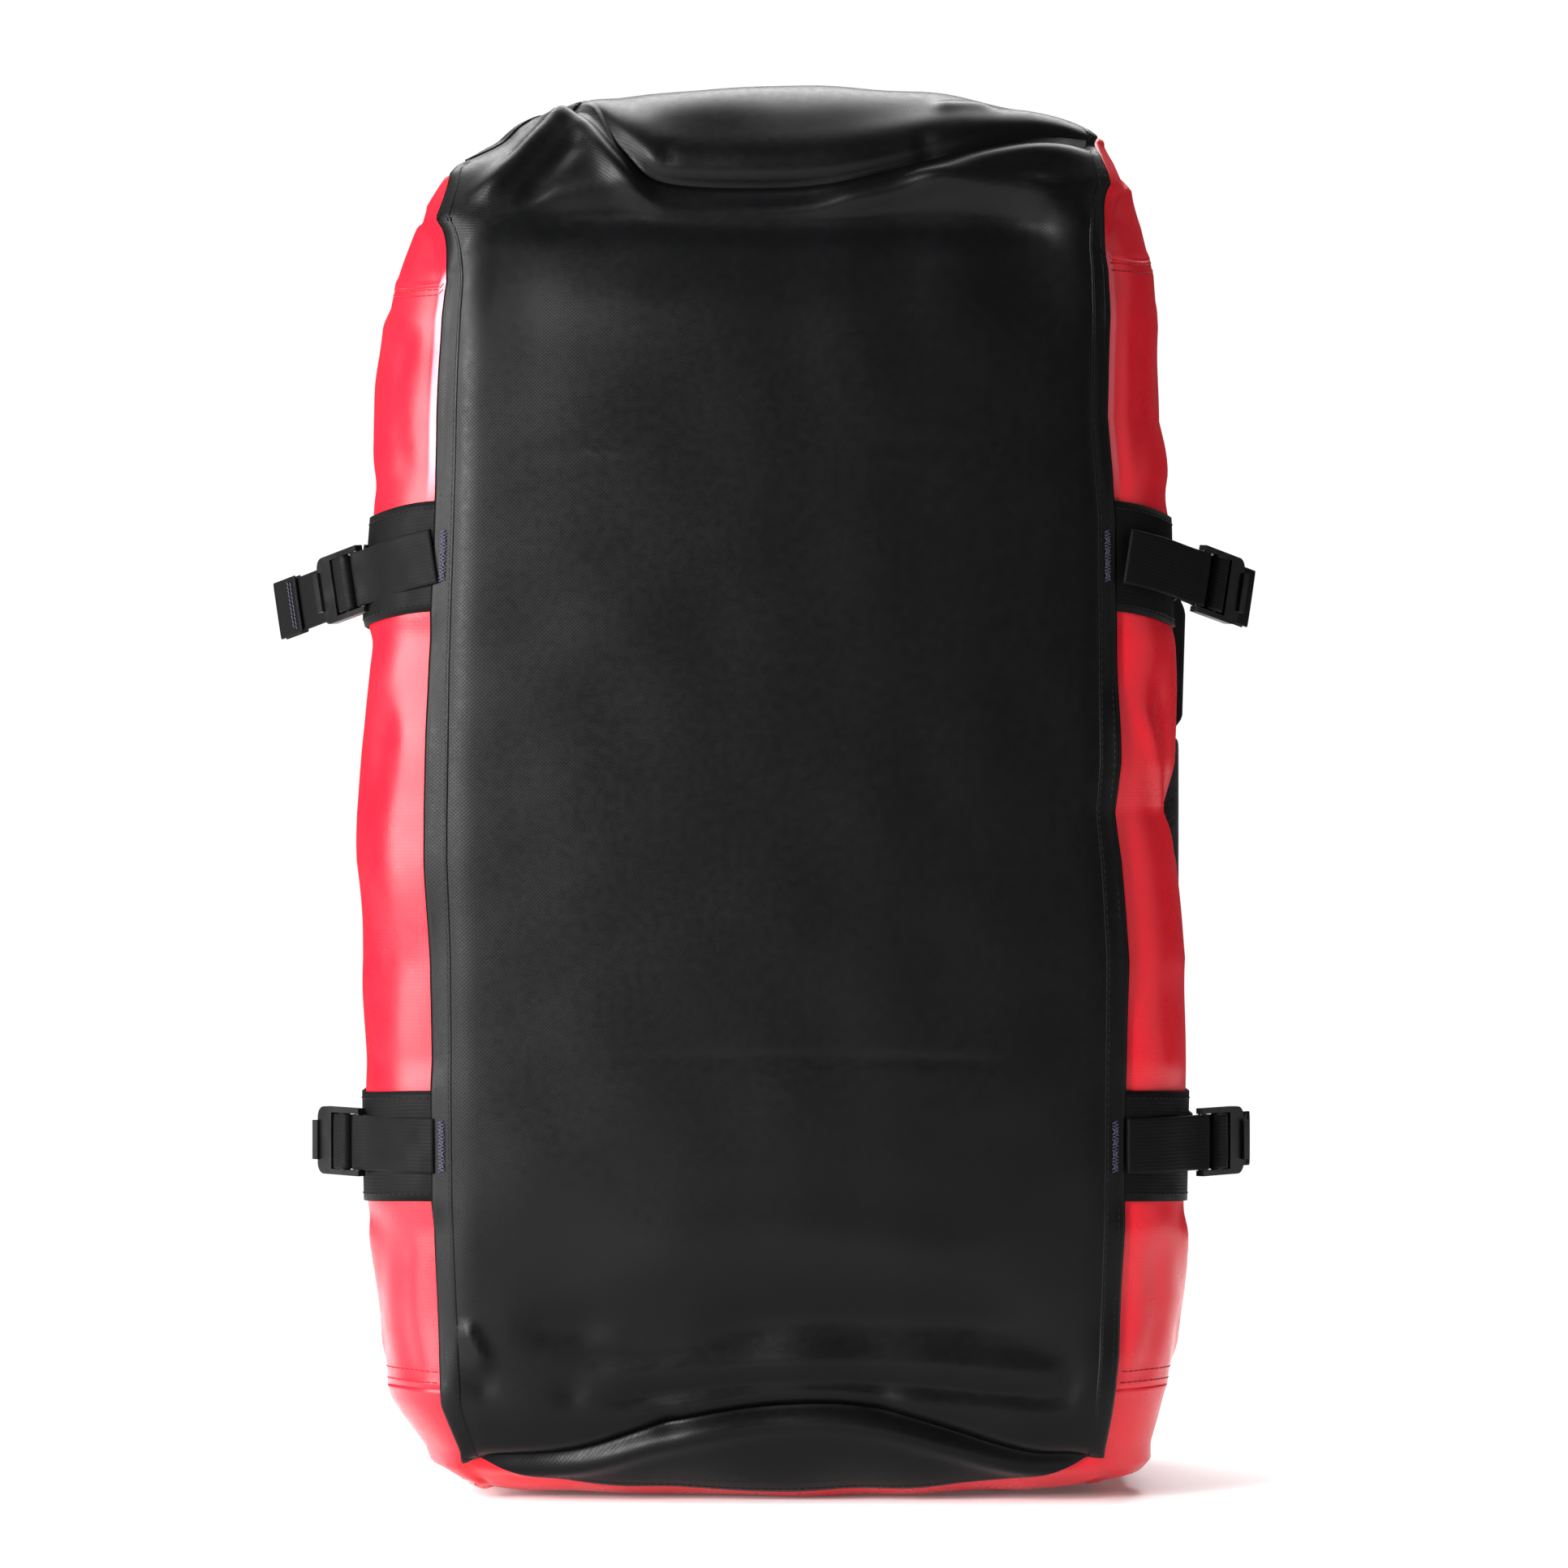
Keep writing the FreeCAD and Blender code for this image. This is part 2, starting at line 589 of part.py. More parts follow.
def shoulder_strap():
    """Its pieces by kind: padded part, ladder lock, and webbing."""
    bar = bow_point(0, PAD_LOW - 9)
    along = (bow_point(0, PAD_LOW - 11) - bow_point(0, PAD_LOW - 9)).normalize()
    inward = V(0, 1, 0).cross(along)
    inward = inward if inward.x < 0 else inward * -1
    entry = bar + along * ENTRY_X + inward * UNDER
    neck_low, neck_high = SHOULDER_LOW + SHOULDER_NECK, SHOULDER_HIGH - SHOULDER_NECK
    lower = placed(lock_tail(22), bar, along, inward).fuse([
        plank(entry, bow_point(0, neck_low)),
        neck(SHOULDER_LOW),
    ])
    upper = bowed(STRAP_T, STRAP_W, PAD_HIGH + 0.1, neck_high).fuse(neck(neck_high - 4))
    return {
        "pad": [bowed(SHOULDER_T, SHOULDER_W, PAD_LOW, PAD_HIGH)],
        "lock": [placed(ladder_lock(), bar, along, inward)],
        "web": [placed(bar_loop(8.6), bar, along, inward), lower, upper],
    }


def make_shoulders():
    angle = 90 - SHOULDER_ANGLE
    tabs = []
    for side in ("right", "left"):
        for kind, solids in shoulder_strap().items():
            for solid in solids:
                solid.rotate(V(0, 0, 0), V(0, 0, 1), angle)
                solid.translate(round_point(SHOULDER_HEIGHT, angle))
            export(f"shoulder_{kind}_{side}", *[on_side(solid, side) for solid in solids])
        for z in (SHOULDER_LOW + 2, SHOULDER_HIGH - 2):
            tab = round_strip(0.05, TAB_T, angle - 5.5, angle + 5.5, z - 10, z + 10)
            tabs.append(on_side(tab, side))
    export("shoulder_tabs", *tabs)


def main():
    os.makedirs("parts", exist_ok=True)
    make_walls()
    make_lid()
    make_sliders()
    make_straps()
    make_side_handles()
    make_haul_handles()
    make_shoulders()


main()
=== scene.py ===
import json
import math

import bpy
import numpy as np
from mathutils import Matrix, Vector


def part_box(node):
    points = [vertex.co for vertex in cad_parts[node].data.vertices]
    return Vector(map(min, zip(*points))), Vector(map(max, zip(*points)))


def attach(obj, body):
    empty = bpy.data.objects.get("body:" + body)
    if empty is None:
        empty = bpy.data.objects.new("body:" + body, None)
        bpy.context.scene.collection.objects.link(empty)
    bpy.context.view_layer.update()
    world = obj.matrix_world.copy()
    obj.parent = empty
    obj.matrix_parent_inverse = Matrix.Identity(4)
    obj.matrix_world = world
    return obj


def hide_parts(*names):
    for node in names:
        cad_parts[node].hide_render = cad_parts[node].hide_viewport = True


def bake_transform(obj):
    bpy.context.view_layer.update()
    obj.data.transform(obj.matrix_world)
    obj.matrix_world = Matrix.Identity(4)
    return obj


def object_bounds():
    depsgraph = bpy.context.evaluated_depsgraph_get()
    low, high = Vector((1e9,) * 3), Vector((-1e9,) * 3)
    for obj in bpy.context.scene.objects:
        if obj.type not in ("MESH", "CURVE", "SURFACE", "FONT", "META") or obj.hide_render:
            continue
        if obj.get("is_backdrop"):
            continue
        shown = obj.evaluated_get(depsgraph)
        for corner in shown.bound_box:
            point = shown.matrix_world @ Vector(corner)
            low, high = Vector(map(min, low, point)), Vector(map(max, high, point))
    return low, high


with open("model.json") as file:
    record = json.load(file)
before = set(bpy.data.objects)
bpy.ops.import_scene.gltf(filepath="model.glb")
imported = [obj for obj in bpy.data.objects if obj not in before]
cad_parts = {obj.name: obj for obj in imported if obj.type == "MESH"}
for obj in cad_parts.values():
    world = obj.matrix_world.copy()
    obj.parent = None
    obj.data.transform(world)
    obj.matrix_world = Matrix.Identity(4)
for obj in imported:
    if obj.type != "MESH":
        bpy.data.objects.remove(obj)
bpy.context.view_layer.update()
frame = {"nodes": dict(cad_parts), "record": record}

# Everything is in metres, in the row frame: +Z along the bag, -Y the base side, +Y the zip side.
#
# The skin is laid out flat first. s runs round the bag from the middle of the base, to the right
# positive, and v runs along it, from the lower end up. v equals z on the walls. Beyond them it goes
# on over the rounding and onto the flat end. A material's UV is (s, v) too, so a weave has its size.

MM = 0.001
BODY_OF = {n: body for body, nodes in frame["record"]["behaviour"]["bodies"].items() for n in nodes}

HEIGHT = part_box("end_cap_top")[1].z
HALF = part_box("side_panel_right")[1].x  # half width, and radius of the round zip side
BASE_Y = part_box("base_lining")[0].y
AXIS_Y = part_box("lid_panel")[1].y - HALF
CORNER_R = 0.052  # between base and sides
END_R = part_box("side_panel_right")[0].z  # between walls and ends
FLAT = HALF - CORNER_R
CORNER_Y = BASE_Y + CORNER_R
CORNER_END = FLAT + CORNER_R * math.pi / 2
WALL_END = CORNER_END + AXIS_Y - CORNER_Y
MIDDLE = WALL_END + HALF * math.pi / 2  # s at the middle of the zip side
V_LOW = END_R - END_R * math.pi / 2
V_HIGH = HEIGHT - V_LOW
HULL_T = 0.0008
CLOTH_T = 0.0012

PANEL_HALF = FLAT + CORNER_R * math.radians(22.3)  # base panel's side edges, as s
SEAM_S = FLAT + CORNER_R * math.radians(11)
TOP_START = WALL_END + HALF * math.radians(29)
HINGE_X = 0.134
ZIP_LOW, ZIP_HIGH, ZIP_CORNER = 0.084, 0.561, 0.060
ZIP_RUNS = {"low": ZIP_LOW, "high": ZIP_HIGH}

BAND_Z = {"low": 0.163, "high": 0.430}
BAND_W, STRAP_W, STRAP_T = 0.050, 0.025, 0.0014
SIDES = {"left": -1, "right": 1}
PITCH = 0.0028  # of the cloth's mesh
FLOOR_GAP = 0.0006

rng = np.random.default_rng(7)


def smooth(x, low, high):
    t = np.clip((np.asarray(x, float) - low) / (high - low), 0, 1)
    return t * t * (3 - 2 * t)


def waves(count, shortest, longest):
    """A fixed set of random plane waves, for cloth that isn't quite even."""
    length = rng.uniform(shortest, longest, count)
    heading = rng.uniform(0, 2 * math.pi, count)
    phase = rng.uniform(0, 2 * math.pi, count)
    return np.cos(heading) * 2 * math.pi / length, np.sin(heading) * 2 * math.pi / length, phase


def ripple(field, s, v):
    """From about -1 to 1."""
    total = np.zeros(np.broadcast(s, v).shape)
    for kx, ky, phase in zip(*field):
        total += np.sin(kx * s + ky * v + phase)
    return total / math.sqrt(len(field[0]) * 1.5)


BROAD = waves(9, 0.12, 0.30)
MIDSIZE = waves(11, 0.045, 0.09)
RIM = waves(9, 0.03, 0.08)


def spline(p, per):
    """A smooth line through all of the points but the first and the last."""
    t = np.arange(per)[:, None] / per
    spans = [0.5 * (2 * b + (c - a) * t + (2 * a - 5 * b + 4 * c - d) * t ** 2
                    + (3 * b - a - 3 * c + d) * t ** 3) for a, b, c, d in zip(p, p[1:], p[2:], p[3:])]
    return np.concatenate([*spans, p[-2:-1]])


def points_mm(*numbers):
    return np.reshape(numbers, (-1, 2)) * MM


def fold(s, v, line, height, width, fade):
    """A ridge, or with a negative height a valley, along a line on the skin. It fades at both ends."""
    line = spline(np.array([line[0], *line, line[-1]]), 6)
    near, run, total = np.full(s.shape, 9.0), np.zeros(s.shape), 0.0
    for a, d in zip(line, np.diff(line, axis=0)):
        length = math.hypot(*d)
        t = np.clip(((s - a[0]) * d[0] + (v - a[1]) * d[1]) / length ** 2, 0, 1)
        gap = np.hypot(s - a[0] - t * d[0], v - a[1] - t * d[1])
        run = np.where(gap < near, total + t * length, run)
        near = np.minimum(gap, near)
        total += length
    return height * np.exp(-(near / width) ** 2) * smooth(run, 0, fade) * smooth(total - run, 0, fade)


def folds_of(table, s, v):
    """A table's rows, in mm: height, width and fade, then s and v of each point of the line."""
    return sum(fold(s, v, points_mm(*line), height * MM, width * MM, fade * MM)
               for height, width, fade, *line in table)


# The seams between the base panel and the black patches on the ends bow towards the middle of the
# bag, because the full ends push them in.
TOP_SEAM = points_mm(-158, 682, -128, 677, -96, 661, -72, 620.5, -49, 600, 13, 597, 68, 613, 122, 638,
                     158, 654)
LOW_SEAM = points_mm(-158, 10, -101, 18, -50, 37.5, 0, 45.8, 45, 43.6, 97, 24, 125, 14.9, 158, 11)
# Beside the seams: how far down, height, width and fade, in mm.
SEAM_FOLDS = (
    (TOP_SEAM, 0, -5.0, 4.2, 30), (TOP_SEAM, 10, 2.6, 6, 50), (TOP_SEAM, -14, 3.0, 11, 50),
    (LOW_SEAM, 0, -4.2, 3.6, 30), (LOW_SEAM, 9, 2.2, 5, 50),
)
BASE_FOLDS = (
    (-5.0, 9.5, 40, -136, 601, -74, 588, 20, 582, 140, 588),
    (3.5, 22, 60, -120, 548, 0, 542, 125, 548),
    (-2.4, 3.2, 20, -70, 606, -47, 592, -4, 590.5, 34, 594),
    (4.6, 6.0, 12, -136, 616, -114, 638, -95, 660),
    (-3.2, 5.5, 12, -120, 606, -102, 622, -88, 640),
    (3.0, 5.0, 20, 50, 604, 90, 604, 134, 609),
    (-1.6, 4.0, 6, 62, 625, 69, 611),
    (-1.0, 3.6, 6, -54, 621, -49, 606),
    (2.2, 5.0, 10, 100, 650, 66, 640),
    # Marks left by folding
    (-0.6, 2.2, 50, -128, 476.5, -40, 478.5, 30, 480.5, 105, 477.5),
    (0.3, 5.0, 60, -128, 472, 105, 473),
    (-0.5, 2.2, 50, -95, 201.5, 10, 203.5, 122, 200.5),
    # Lower end
    (-2.4, 3.4, 30, -87, 46, -8, 56, 50, 55.3, 92, 50.5, 140, 44),
    (2.2, 6.0, 30, -94, 58, -8, 65.5, 60, 65.5, 138, 57),
    (-2.0, 9.0, 20, -124, 78, -98, 81, -72, 78),
    (-2.8, 10, 40, -46, 80, 30, 86, 126, 79),
    (3.0, 20, 60, -100, 105, 0, 118, 120, 105),
    (2.6, 3.5, 8, -145, 84, -133, 58),
)
# Height, radius and place, in mm.
DIMPLES = ((-1.2, 7, -137, 52), (-1.4, 7, -95, 50), (-1.4, 6, -52, 38), (-1.6, 7, 45, 47),
           (-1.2, 8, 132, 52))
BOTH_SIDES_FOLDS = (
    (1.4, 4.6, 20, 156.8, 450, 156.8, 520, 156.6, 600),
    (-1.4, 8.5, 30, 170, 452, 186, 500, 182, 560),
    (-1.6, 8.0, 20, 168, 40, 182, 80, 176, 128),
    (3.2, 12, 30, 196, 455, 235, 520, 250, 585),
    (3.2, 10, 20, 200, 135, 225, 90, 232, 50),
)
ONE_SIDE_FOLDS = (
    (1.4, 4.6, 30, 156.8, 215, 156.8, 300, 156.8, 380),
    (0.6, 4.6, 30, -156.8, 215, -156.8, 300, -156.8, 380),
    (-4.8, 10, 30, 185, 385, 205, 330, 232, 300),
    (2.6, 6.0, 20, 170, 365, 188, 330, 210, 290),
    (-2.2, 10, 30, -175, 375, -190, 330, -215, 300),
)
BULGE = 0.0115  # of the base side


def seam_height(seam, s):
    line = spline(np.array([seam[0], *seam, seam[-1]]), 6)
    return np.interp(s, line[:, 0], line[:, 1])


def base_folds(s, v):
    """How far the base side's cloth stands out from its plain shape."""
    full = smooth(v, 0.05, 0.16) * smooth(v, 0.60, 0.50)
    out = BULGE * (1 - np.clip(np.abs(s) / 0.158, 0, 1) ** 2.4) * full + folds_of(BASE_FOLDS, s, v)
    for seam, down, height, width, fade in SEAM_FOLDS:
        out += fold(s, v + down * MM, seam, height * MM, width * MM, fade * MM)
    for height, radius, s0, v0 in DIMPLES:
        out += height * MM * np.exp(-((s - s0 * MM) ** 2 + (v - v0 * MM) ** 2) / (radius * MM) ** 2)
    near_end = 1 - smooth(v, 0.06, 0.12) * smooth(v, 0.60, 0.54)
    return out + ripple(MIDSIZE, s, v) * (0.0003 + 0.0005 * near_end)


def side_folds(s, v):
    """The laminate is stiffer: it dents between the bands, and a fold runs beside the base panel."""
    out = ripple(BROAD, s, v) * 0.0020 + ripple(MIDSIZE, s, v) * 0.0007
    return out + folds_of(BOTH_SIDES_FOLDS, np.abs(s), v) + folds_of(ONE_SIDE_FOLDS, s, v)


def where_needed(kind, s, v, needed):
    out = np.zeros(s.shape)
    if needed.any():
        out[needed] = kind(s[needed], v[needed])
    return out


def folds(s, v):
    """How far the whole skin stands out from its plain shape."""
    a = np.abs(s)
    base = where_needed(base_folds, s, v, a < PANEL_HALF + 0.002)
    side = where_needed(side_folds, s, v, a > PANEL_HALF - 0.012)
    share = smooth(a, PANEL_HALF - 0.012, PANEL_HALF + 0.002)
    under_band = 1.0
    for z in BAND_Z.values():
        under_band = under_band * (1 - 0.85 * smooth(np.abs(v - z), 0.040, 0.024))
    zip_side = smooth(a, TOP_START - 0.02, TOP_START + 0.03)
    # The side handles land here.
    landing = np.exp(-((a - WALL_END - 0.03) / 0.04) ** 2) * smooth(v, 0.20, 0.235) * smooth(v, 0.395, 0.36)
    side = side * (1 - 0.72 * zip_side) * under_band * (1 - 0.85 * landing) - 0.0012 * landing
    hinge = 1 - np.exp(-((s - HINGE_S) / 0.016) ** 2)
    rim = np.exp(-((v - HEIGHT + END_R) / 0.0028) ** 2) + np.exp(-((v - END_R) / 0.0028) ** 2)
    return (base * (1 - share) + side * share) * hinge + 0.0003 * rim * share


def outline_at(s):
    """x, y and the outward normal, s round from the middle of the base."""
    a = np.abs(s)
    side = np.where(s < 0, -1.0, 1.0)
    corner = np.clip((a - FLAT) / CORNER_R, 0, math.pi / 2)
    rise = np.clip(a - CORNER_END, 0, WALL_END - CORNER_END)
    turn = np.maximum(a - WALL_END, 0) / HALF
    x = np.minimum(a, FLAT) + CORNER_R * np.sin(corner) + HALF * (np.cos(turn) - 1)
    y = BASE_Y + CORNER_R * (1 - np.cos(corner)) + rise + HALF * np.sin(turn)
    return side * x, y, side * np.sin(corner) * np.cos(turn), np.sin(turn) - np.cos(corner)


def s_at(x):
    """s on the zip side over a given x."""
    return WALL_END + HALF * np.arccos(np.clip(np.asarray(x, float) / HALF, -1, 1))


HINGE_S = float(s_at(HINGE_X))

# Height, left and right half width of the filled bag, in mm
WIDTHS = np.array((
    (7, 140, 150), (10, 150, 164), (16, 162, 169), (24, 164, 169.5), (46, 180.5, 175.5), (68, 183.2, 179.5),
    (91, 186, 182), (135, 190, 185), (247, 191.5, 187.2), (292, 195, 181.2), (314, 195, 175.5),
    (336, 194, 179.2), (381, 193, 179), (448, 187.5, 178), (493, 185, 170), (538, 181, 172), (560, 177, 171),
    (582, 169, 165.5), (605, 156.5, 157), (620, 135, 147))).T * MM
RAMP_START = 0.120  # where a side begins to be filled out, in x
FRONT_ZONE = (-0.150, -0.085)  # y over which the base side's shape turns into the sides'


def ends(x, y, z):
    """Domes the upper end and tucks up the lower end's corners."""
    front, back = 1 - smooth(y, *FRONT_ZONE), smooth(y, 0.0, 0.12)
    corner = np.where(x < 0, 0.033, 0.018)
    drop = (corner * front + 0.026 * (1 - front)) * (1 - back) + 0.012 * back
    lift = 0.003 + 0.004 * front
    reach = np.minimum(np.abs(x) / 0.150, 1.07)
    drop = drop * reach ** 2.3 + 0.004 * smooth(y, 0.02, 0.16)
    drop = drop + np.where(x > 0, 0.012 * front, 0.011) * (1 - 0.8 * back) * reach ** 8
    start = 0.50 + 0.075 * smooth(y, 0.02, 0.08)  # the zip's upper run stays level
    return z - drop * smooth(z, start, 0.64) + lift * reach ** 2.4 * smooth(z, 0.11, 0.0)


def plain_width(way, y):
    """Heights and half widths of one side before it is filled out, at y."""
    turn = np.linspace(0, math.pi / 2 * 0.98, 60)
    x = HALF - END_R * (1 - np.cos(turn))
    rise = END_R * (1 - np.sin(turn))
    low, high = ends(way * x, np.full(60, y), rise)[::-1], ends(way * x, np.full(60, y), HEIGHT - rise)
    return np.concatenate([low, high]), np.concatenate([x[::-1], x])


PLAIN = [[plain_width(way, y) for way in SIDES.values()] for y in FRONT_ZONE]


def warp(x, y, z):
    """From the plain shape to the filled bag's: fuller sides, domed ends, tucked corners."""
    z = ends(x, y, z)
    near, far = (np.where(x < 0, np.interp(z, *left), np.interp(z, *right)) for left, right in PLAIN)
    plain = near + (far - near) * smooth(y, *FRONT_ZONE)
    left, right = (np.interp(z, WIDTHS[0], side) for side in WIDTHS[1:])
    ramp = np.clip((np.abs(x) - RAMP_START) / np.maximum(plain - RAMP_START, 0.02), 0, 1.1)
    back = smooth(y, 0.02, 0.085) * (0.6 + 0.4 * smooth(z, 0.61, 0.58))
    grown = np.where(x < 0, left, right) - plain
    kept = np.where(grown > 0, 1 - smooth(y, -0.06, 0.02), 1 - back)
    return x + np.sign(x) * grown * ramp * kept, y, z


def skin(s, v, off=0.0):
    """Points on the filled bag's skin, or off it by off."""
    s, v = np.broadcast_arrays(np.asarray(s, float), np.asarray(v, float))
    x, y, nx, ny = outline_at(s)
    up = np.clip((v - HEIGHT + END_R) / END_R, 0, math.pi / 2)
    down = np.clip((END_R - v) / END_R, 0, math.pi / 2)
    inset = END_R * (1 - np.cos(up + down))
    beyond = np.maximum(v - V_HIGH, 0) + np.maximum(V_LOW - v, 0)
    out = off + folds(s, v)
    z = np.clip(v, END_R, HEIGHT - END_R) + (END_R + out) * (np.sin(up) - np.sin(down))
    outward_by = out * np.cos(up + down) - inset
    x, y, z = warp(x + nx * outward_by, y + ny * outward_by + beyond, z)
    return np.stack([x, y, np.maximum(z, FLOOR_GAP)], -1)


def outward(s, v, off=0.0, e=0.001):
    """The skin's outward direction, from points e to each side."""
    return np.cross(skin(s + e, v, off) - skin(s - e, v, off), skin(s, v + e, off) - skin(s, v - e, off))


# Meshes


def stand_for(obj, node):
    """The piece replaces a CAD node, which is hidden, and rides on its body."""
    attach(obj, BODY_OF[node])
    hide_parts(node)


def mesh_piece(name, points, faces, uv, finish, node=None):
    """A piece from its points, its faces and one UV for each point."""
    mesh = bpy.data.meshes.new(name)
    mesh.from_pydata(np.reshape(points, (-1, 3)).tolist(), [], [tuple(f) for f in faces])
    layer = mesh.uv_layers.new(name="skin")
    corners = np.empty(len(mesh.loops), np.int32)
    mesh.loops.foreach_get("vertex_index", corners)
    layer.data.foreach_set("uv", np.asarray(uv, np.float32).reshape(-1, 2)[corners].ravel())
    mesh.shade_smooth()
    mesh.materials.append(finish)
    obj = bpy.data.objects.new(name, mesh)
    bpy.context.scene.collection.objects.link(obj)
    if node:
        stand_for(obj, node)
    return obj


def grid_faces(rows, cols, closed=False):
    r, c = np.meshgrid(np.arange(rows - 1), np.arange(cols if closed else cols - 1), indexing="ij")
    r, c = r.ravel() * cols, c.ravel()
    n = (c + 1) % cols
    return np.stack([r + c, r + n, r + cols + n, r + cols + c], -1).tolist()


def thicken(obj, thickness):
    solid = obj.modifiers.new("thickness", "SOLIDIFY")
    solid.thickness = thickness
    solid.offset = -1.0


def cloth(name, s, v, off, thickness, finish, node, uv=None):
    """A piece of cloth on the skin. s and v are grids, and its UV unless another is given."""
    s, v = np.broadcast_arrays(s, v)
    uv = np.stack([s, v] if uv is None else np.broadcast_arrays(*uv), -1)
    obj = mesh_piece(name, skin(s, v, off), grid_faces(*s.shape), uv, finish, node)
    if thickness:
        thicken(obj, thickness)


def steps(a, b, pitch=PITCH):
    return np.linspace(a, b, max(2, int(round(abs(b - a) / pitch)) + 1))


def travelled(points):
    """Distance along a line, at each of its points."""
    return np.concatenate([[0], np.cumsum(np.linalg.norm(np.diff(points, axis=0), axis=1))])


def oval(half_width, half_height, squareness=5.0, count=20):
    """A closed section, from a round cord (2) to flat webbing (6)."""
    a = np.linspace(0, 2 * math.pi, count, endpoint=False)
    section = np.stack([np.cos(a), np.sin(a)], -1)
    return (half_width, half_height) * np.sign(section) * np.abs(section) ** (2 / squareness)


def sweep(name, path, across, sections, node):
    """Runs a closed section of webbing along a path. across is the section's first axis."""
    path = np.asarray(path, float)
    count = len(path)
    sections = np.broadcast_to(sections, (count, *np.shape(sections)[-2:]))
    tangent = np.gradient(path, axis=0)
    tangent /= np.linalg.norm(tangent, axis=1, keepdims=True)
    across = across - tangent * np.sum(across * tangent, 1, keepdims=True)
    across /= np.linalg.norm(across, axis=1, keepdims=True)
    up = np.cross(tangent, across)
    points = path[:, None] + sections[..., :1] * across[:, None] + sections[..., 1:] * up[:, None]
    around = sections.shape[1]
    uv = np.stack([sections[..., 0], np.broadcast_to(travelled(path)[:, None], sections.shape[:2])], -1)
    faces = [f[::-1] for f in grid_faces(count, around, closed=True)]
    faces += [range(around), range(count * around - 1, (count - 1) * around - 1, -1)]
    mesh_piece(name, points, faces, uv, WEBBING, node)


def smooth_path(points, per=6):
    """A smooth line through points in space."""
    p = np.array(points)
    return spline(np.array([p[0] * 2 - p[1], *p, p[-1] * 2 - p[-2]]), per)


def rounded_path(points, radius, per=5):
    """Straight runs with their corners rounded."""
    p = [Vector(q) for q in points]
    out = [p[0]]
    for a, b, c in zip(p, p[1:], p[2:]):
        back, on = a - b, c - b
        r = min(radius, back.length * 0.49, on.length * 0.49)
        start, end = b + back.normalized() * r, b + on.normalized() * r
        out += [start * (1 - t) ** 2 + b * 2 * t * (1 - t) + end * t * t for t in np.linspace(0, 1, per + 1)]
    return np.array([*out, p[-1]])


def resample(path, pitch):
    path = np.asarray(path, float)
    run = travelled(path)
    at = steps(0, run[-1], pitch)
    return np.stack([np.interp(at, run, path[:, i]) for i in range(3)], -1)


def many(name, at, along, out, size, finish, node):
    """Small rounded bars in one mesh, such as stitches or zip teeth. size is length, width and height."""
    at, along, out = (np.asarray(q, float) for q in (at, along, out))
    along = along / np.linalg.norm(along, axis=-1, keepdims=True)
    side = np.cross(out, along)
    side /= np.linalg.norm(side, axis=-1, keepdims=True)
    stations = [(-0.5, 0.35), (-0.36, 0.9), (0.36, 0.9), (0.5, 0.35)]
    local = np.array([(t, k * u, k * h) for t, k in stations for u, h in oval(0.5, 0.5, 2.0, 6)])
    axes = np.stack([along, side, np.cross(along, side)], -2)
    points = at[:, None] + (local * size) @ axes
    last = len(local) - 6
    caps = np.array([range(5, -1, -1), range(last, last + 6)])
    block = np.array(grid_faces(len(stations), 6, closed=True)), caps
    faces = [f for k in range(len(at)) for part in block for f in (part + k * len(local)).tolist()]
    uv = np.broadcast_to(local[:, :2] * 0.01, (len(at), len(local), 2))
    mesh_piece(name, points, faces, uv, finish, node)


def stitches(name, s, v, off, finish, node, slot=None, pitch=0.0034, size=(0.0027, 0.00065, 0.0005)):
    """A row of stitches on the skin, along the line that s and v give."""
    s, v = np.broadcast_arrays(np.asarray(s, float), v)
    run = travelled(np.stack([s, v], -1))
    at = np.arange(pitch / 2, run[-1], pitch)
    behind, (si, vi), ahead = ((np.interp(at + d, run, s), np.interp(at + d, run, v))
                               for d in (-0.0005, 0, 0.0005))
    along = skin(*ahead, off) - skin(*behind, off)
    many(name, skin(si, vi, off), along, outward(si, vi, off, 0.0008), size, finish, node)


def zigzag(name, s, z, half, count, swing, length, off, node):
    """A bar tack: a dense zigzag along v, half to each side of z."""
    s = s + np.where(np.arange(count) % 2, swing, -swing)
    stitches(name, s, z + np.linspace(-half, half, count), off, TACK, node, pitch=swing,
             size=(length, 0.0006, 0.0005))


# Materials


def solid(colour, share=1.0):
    return *(c * share for c in colour[:3]), 1.0


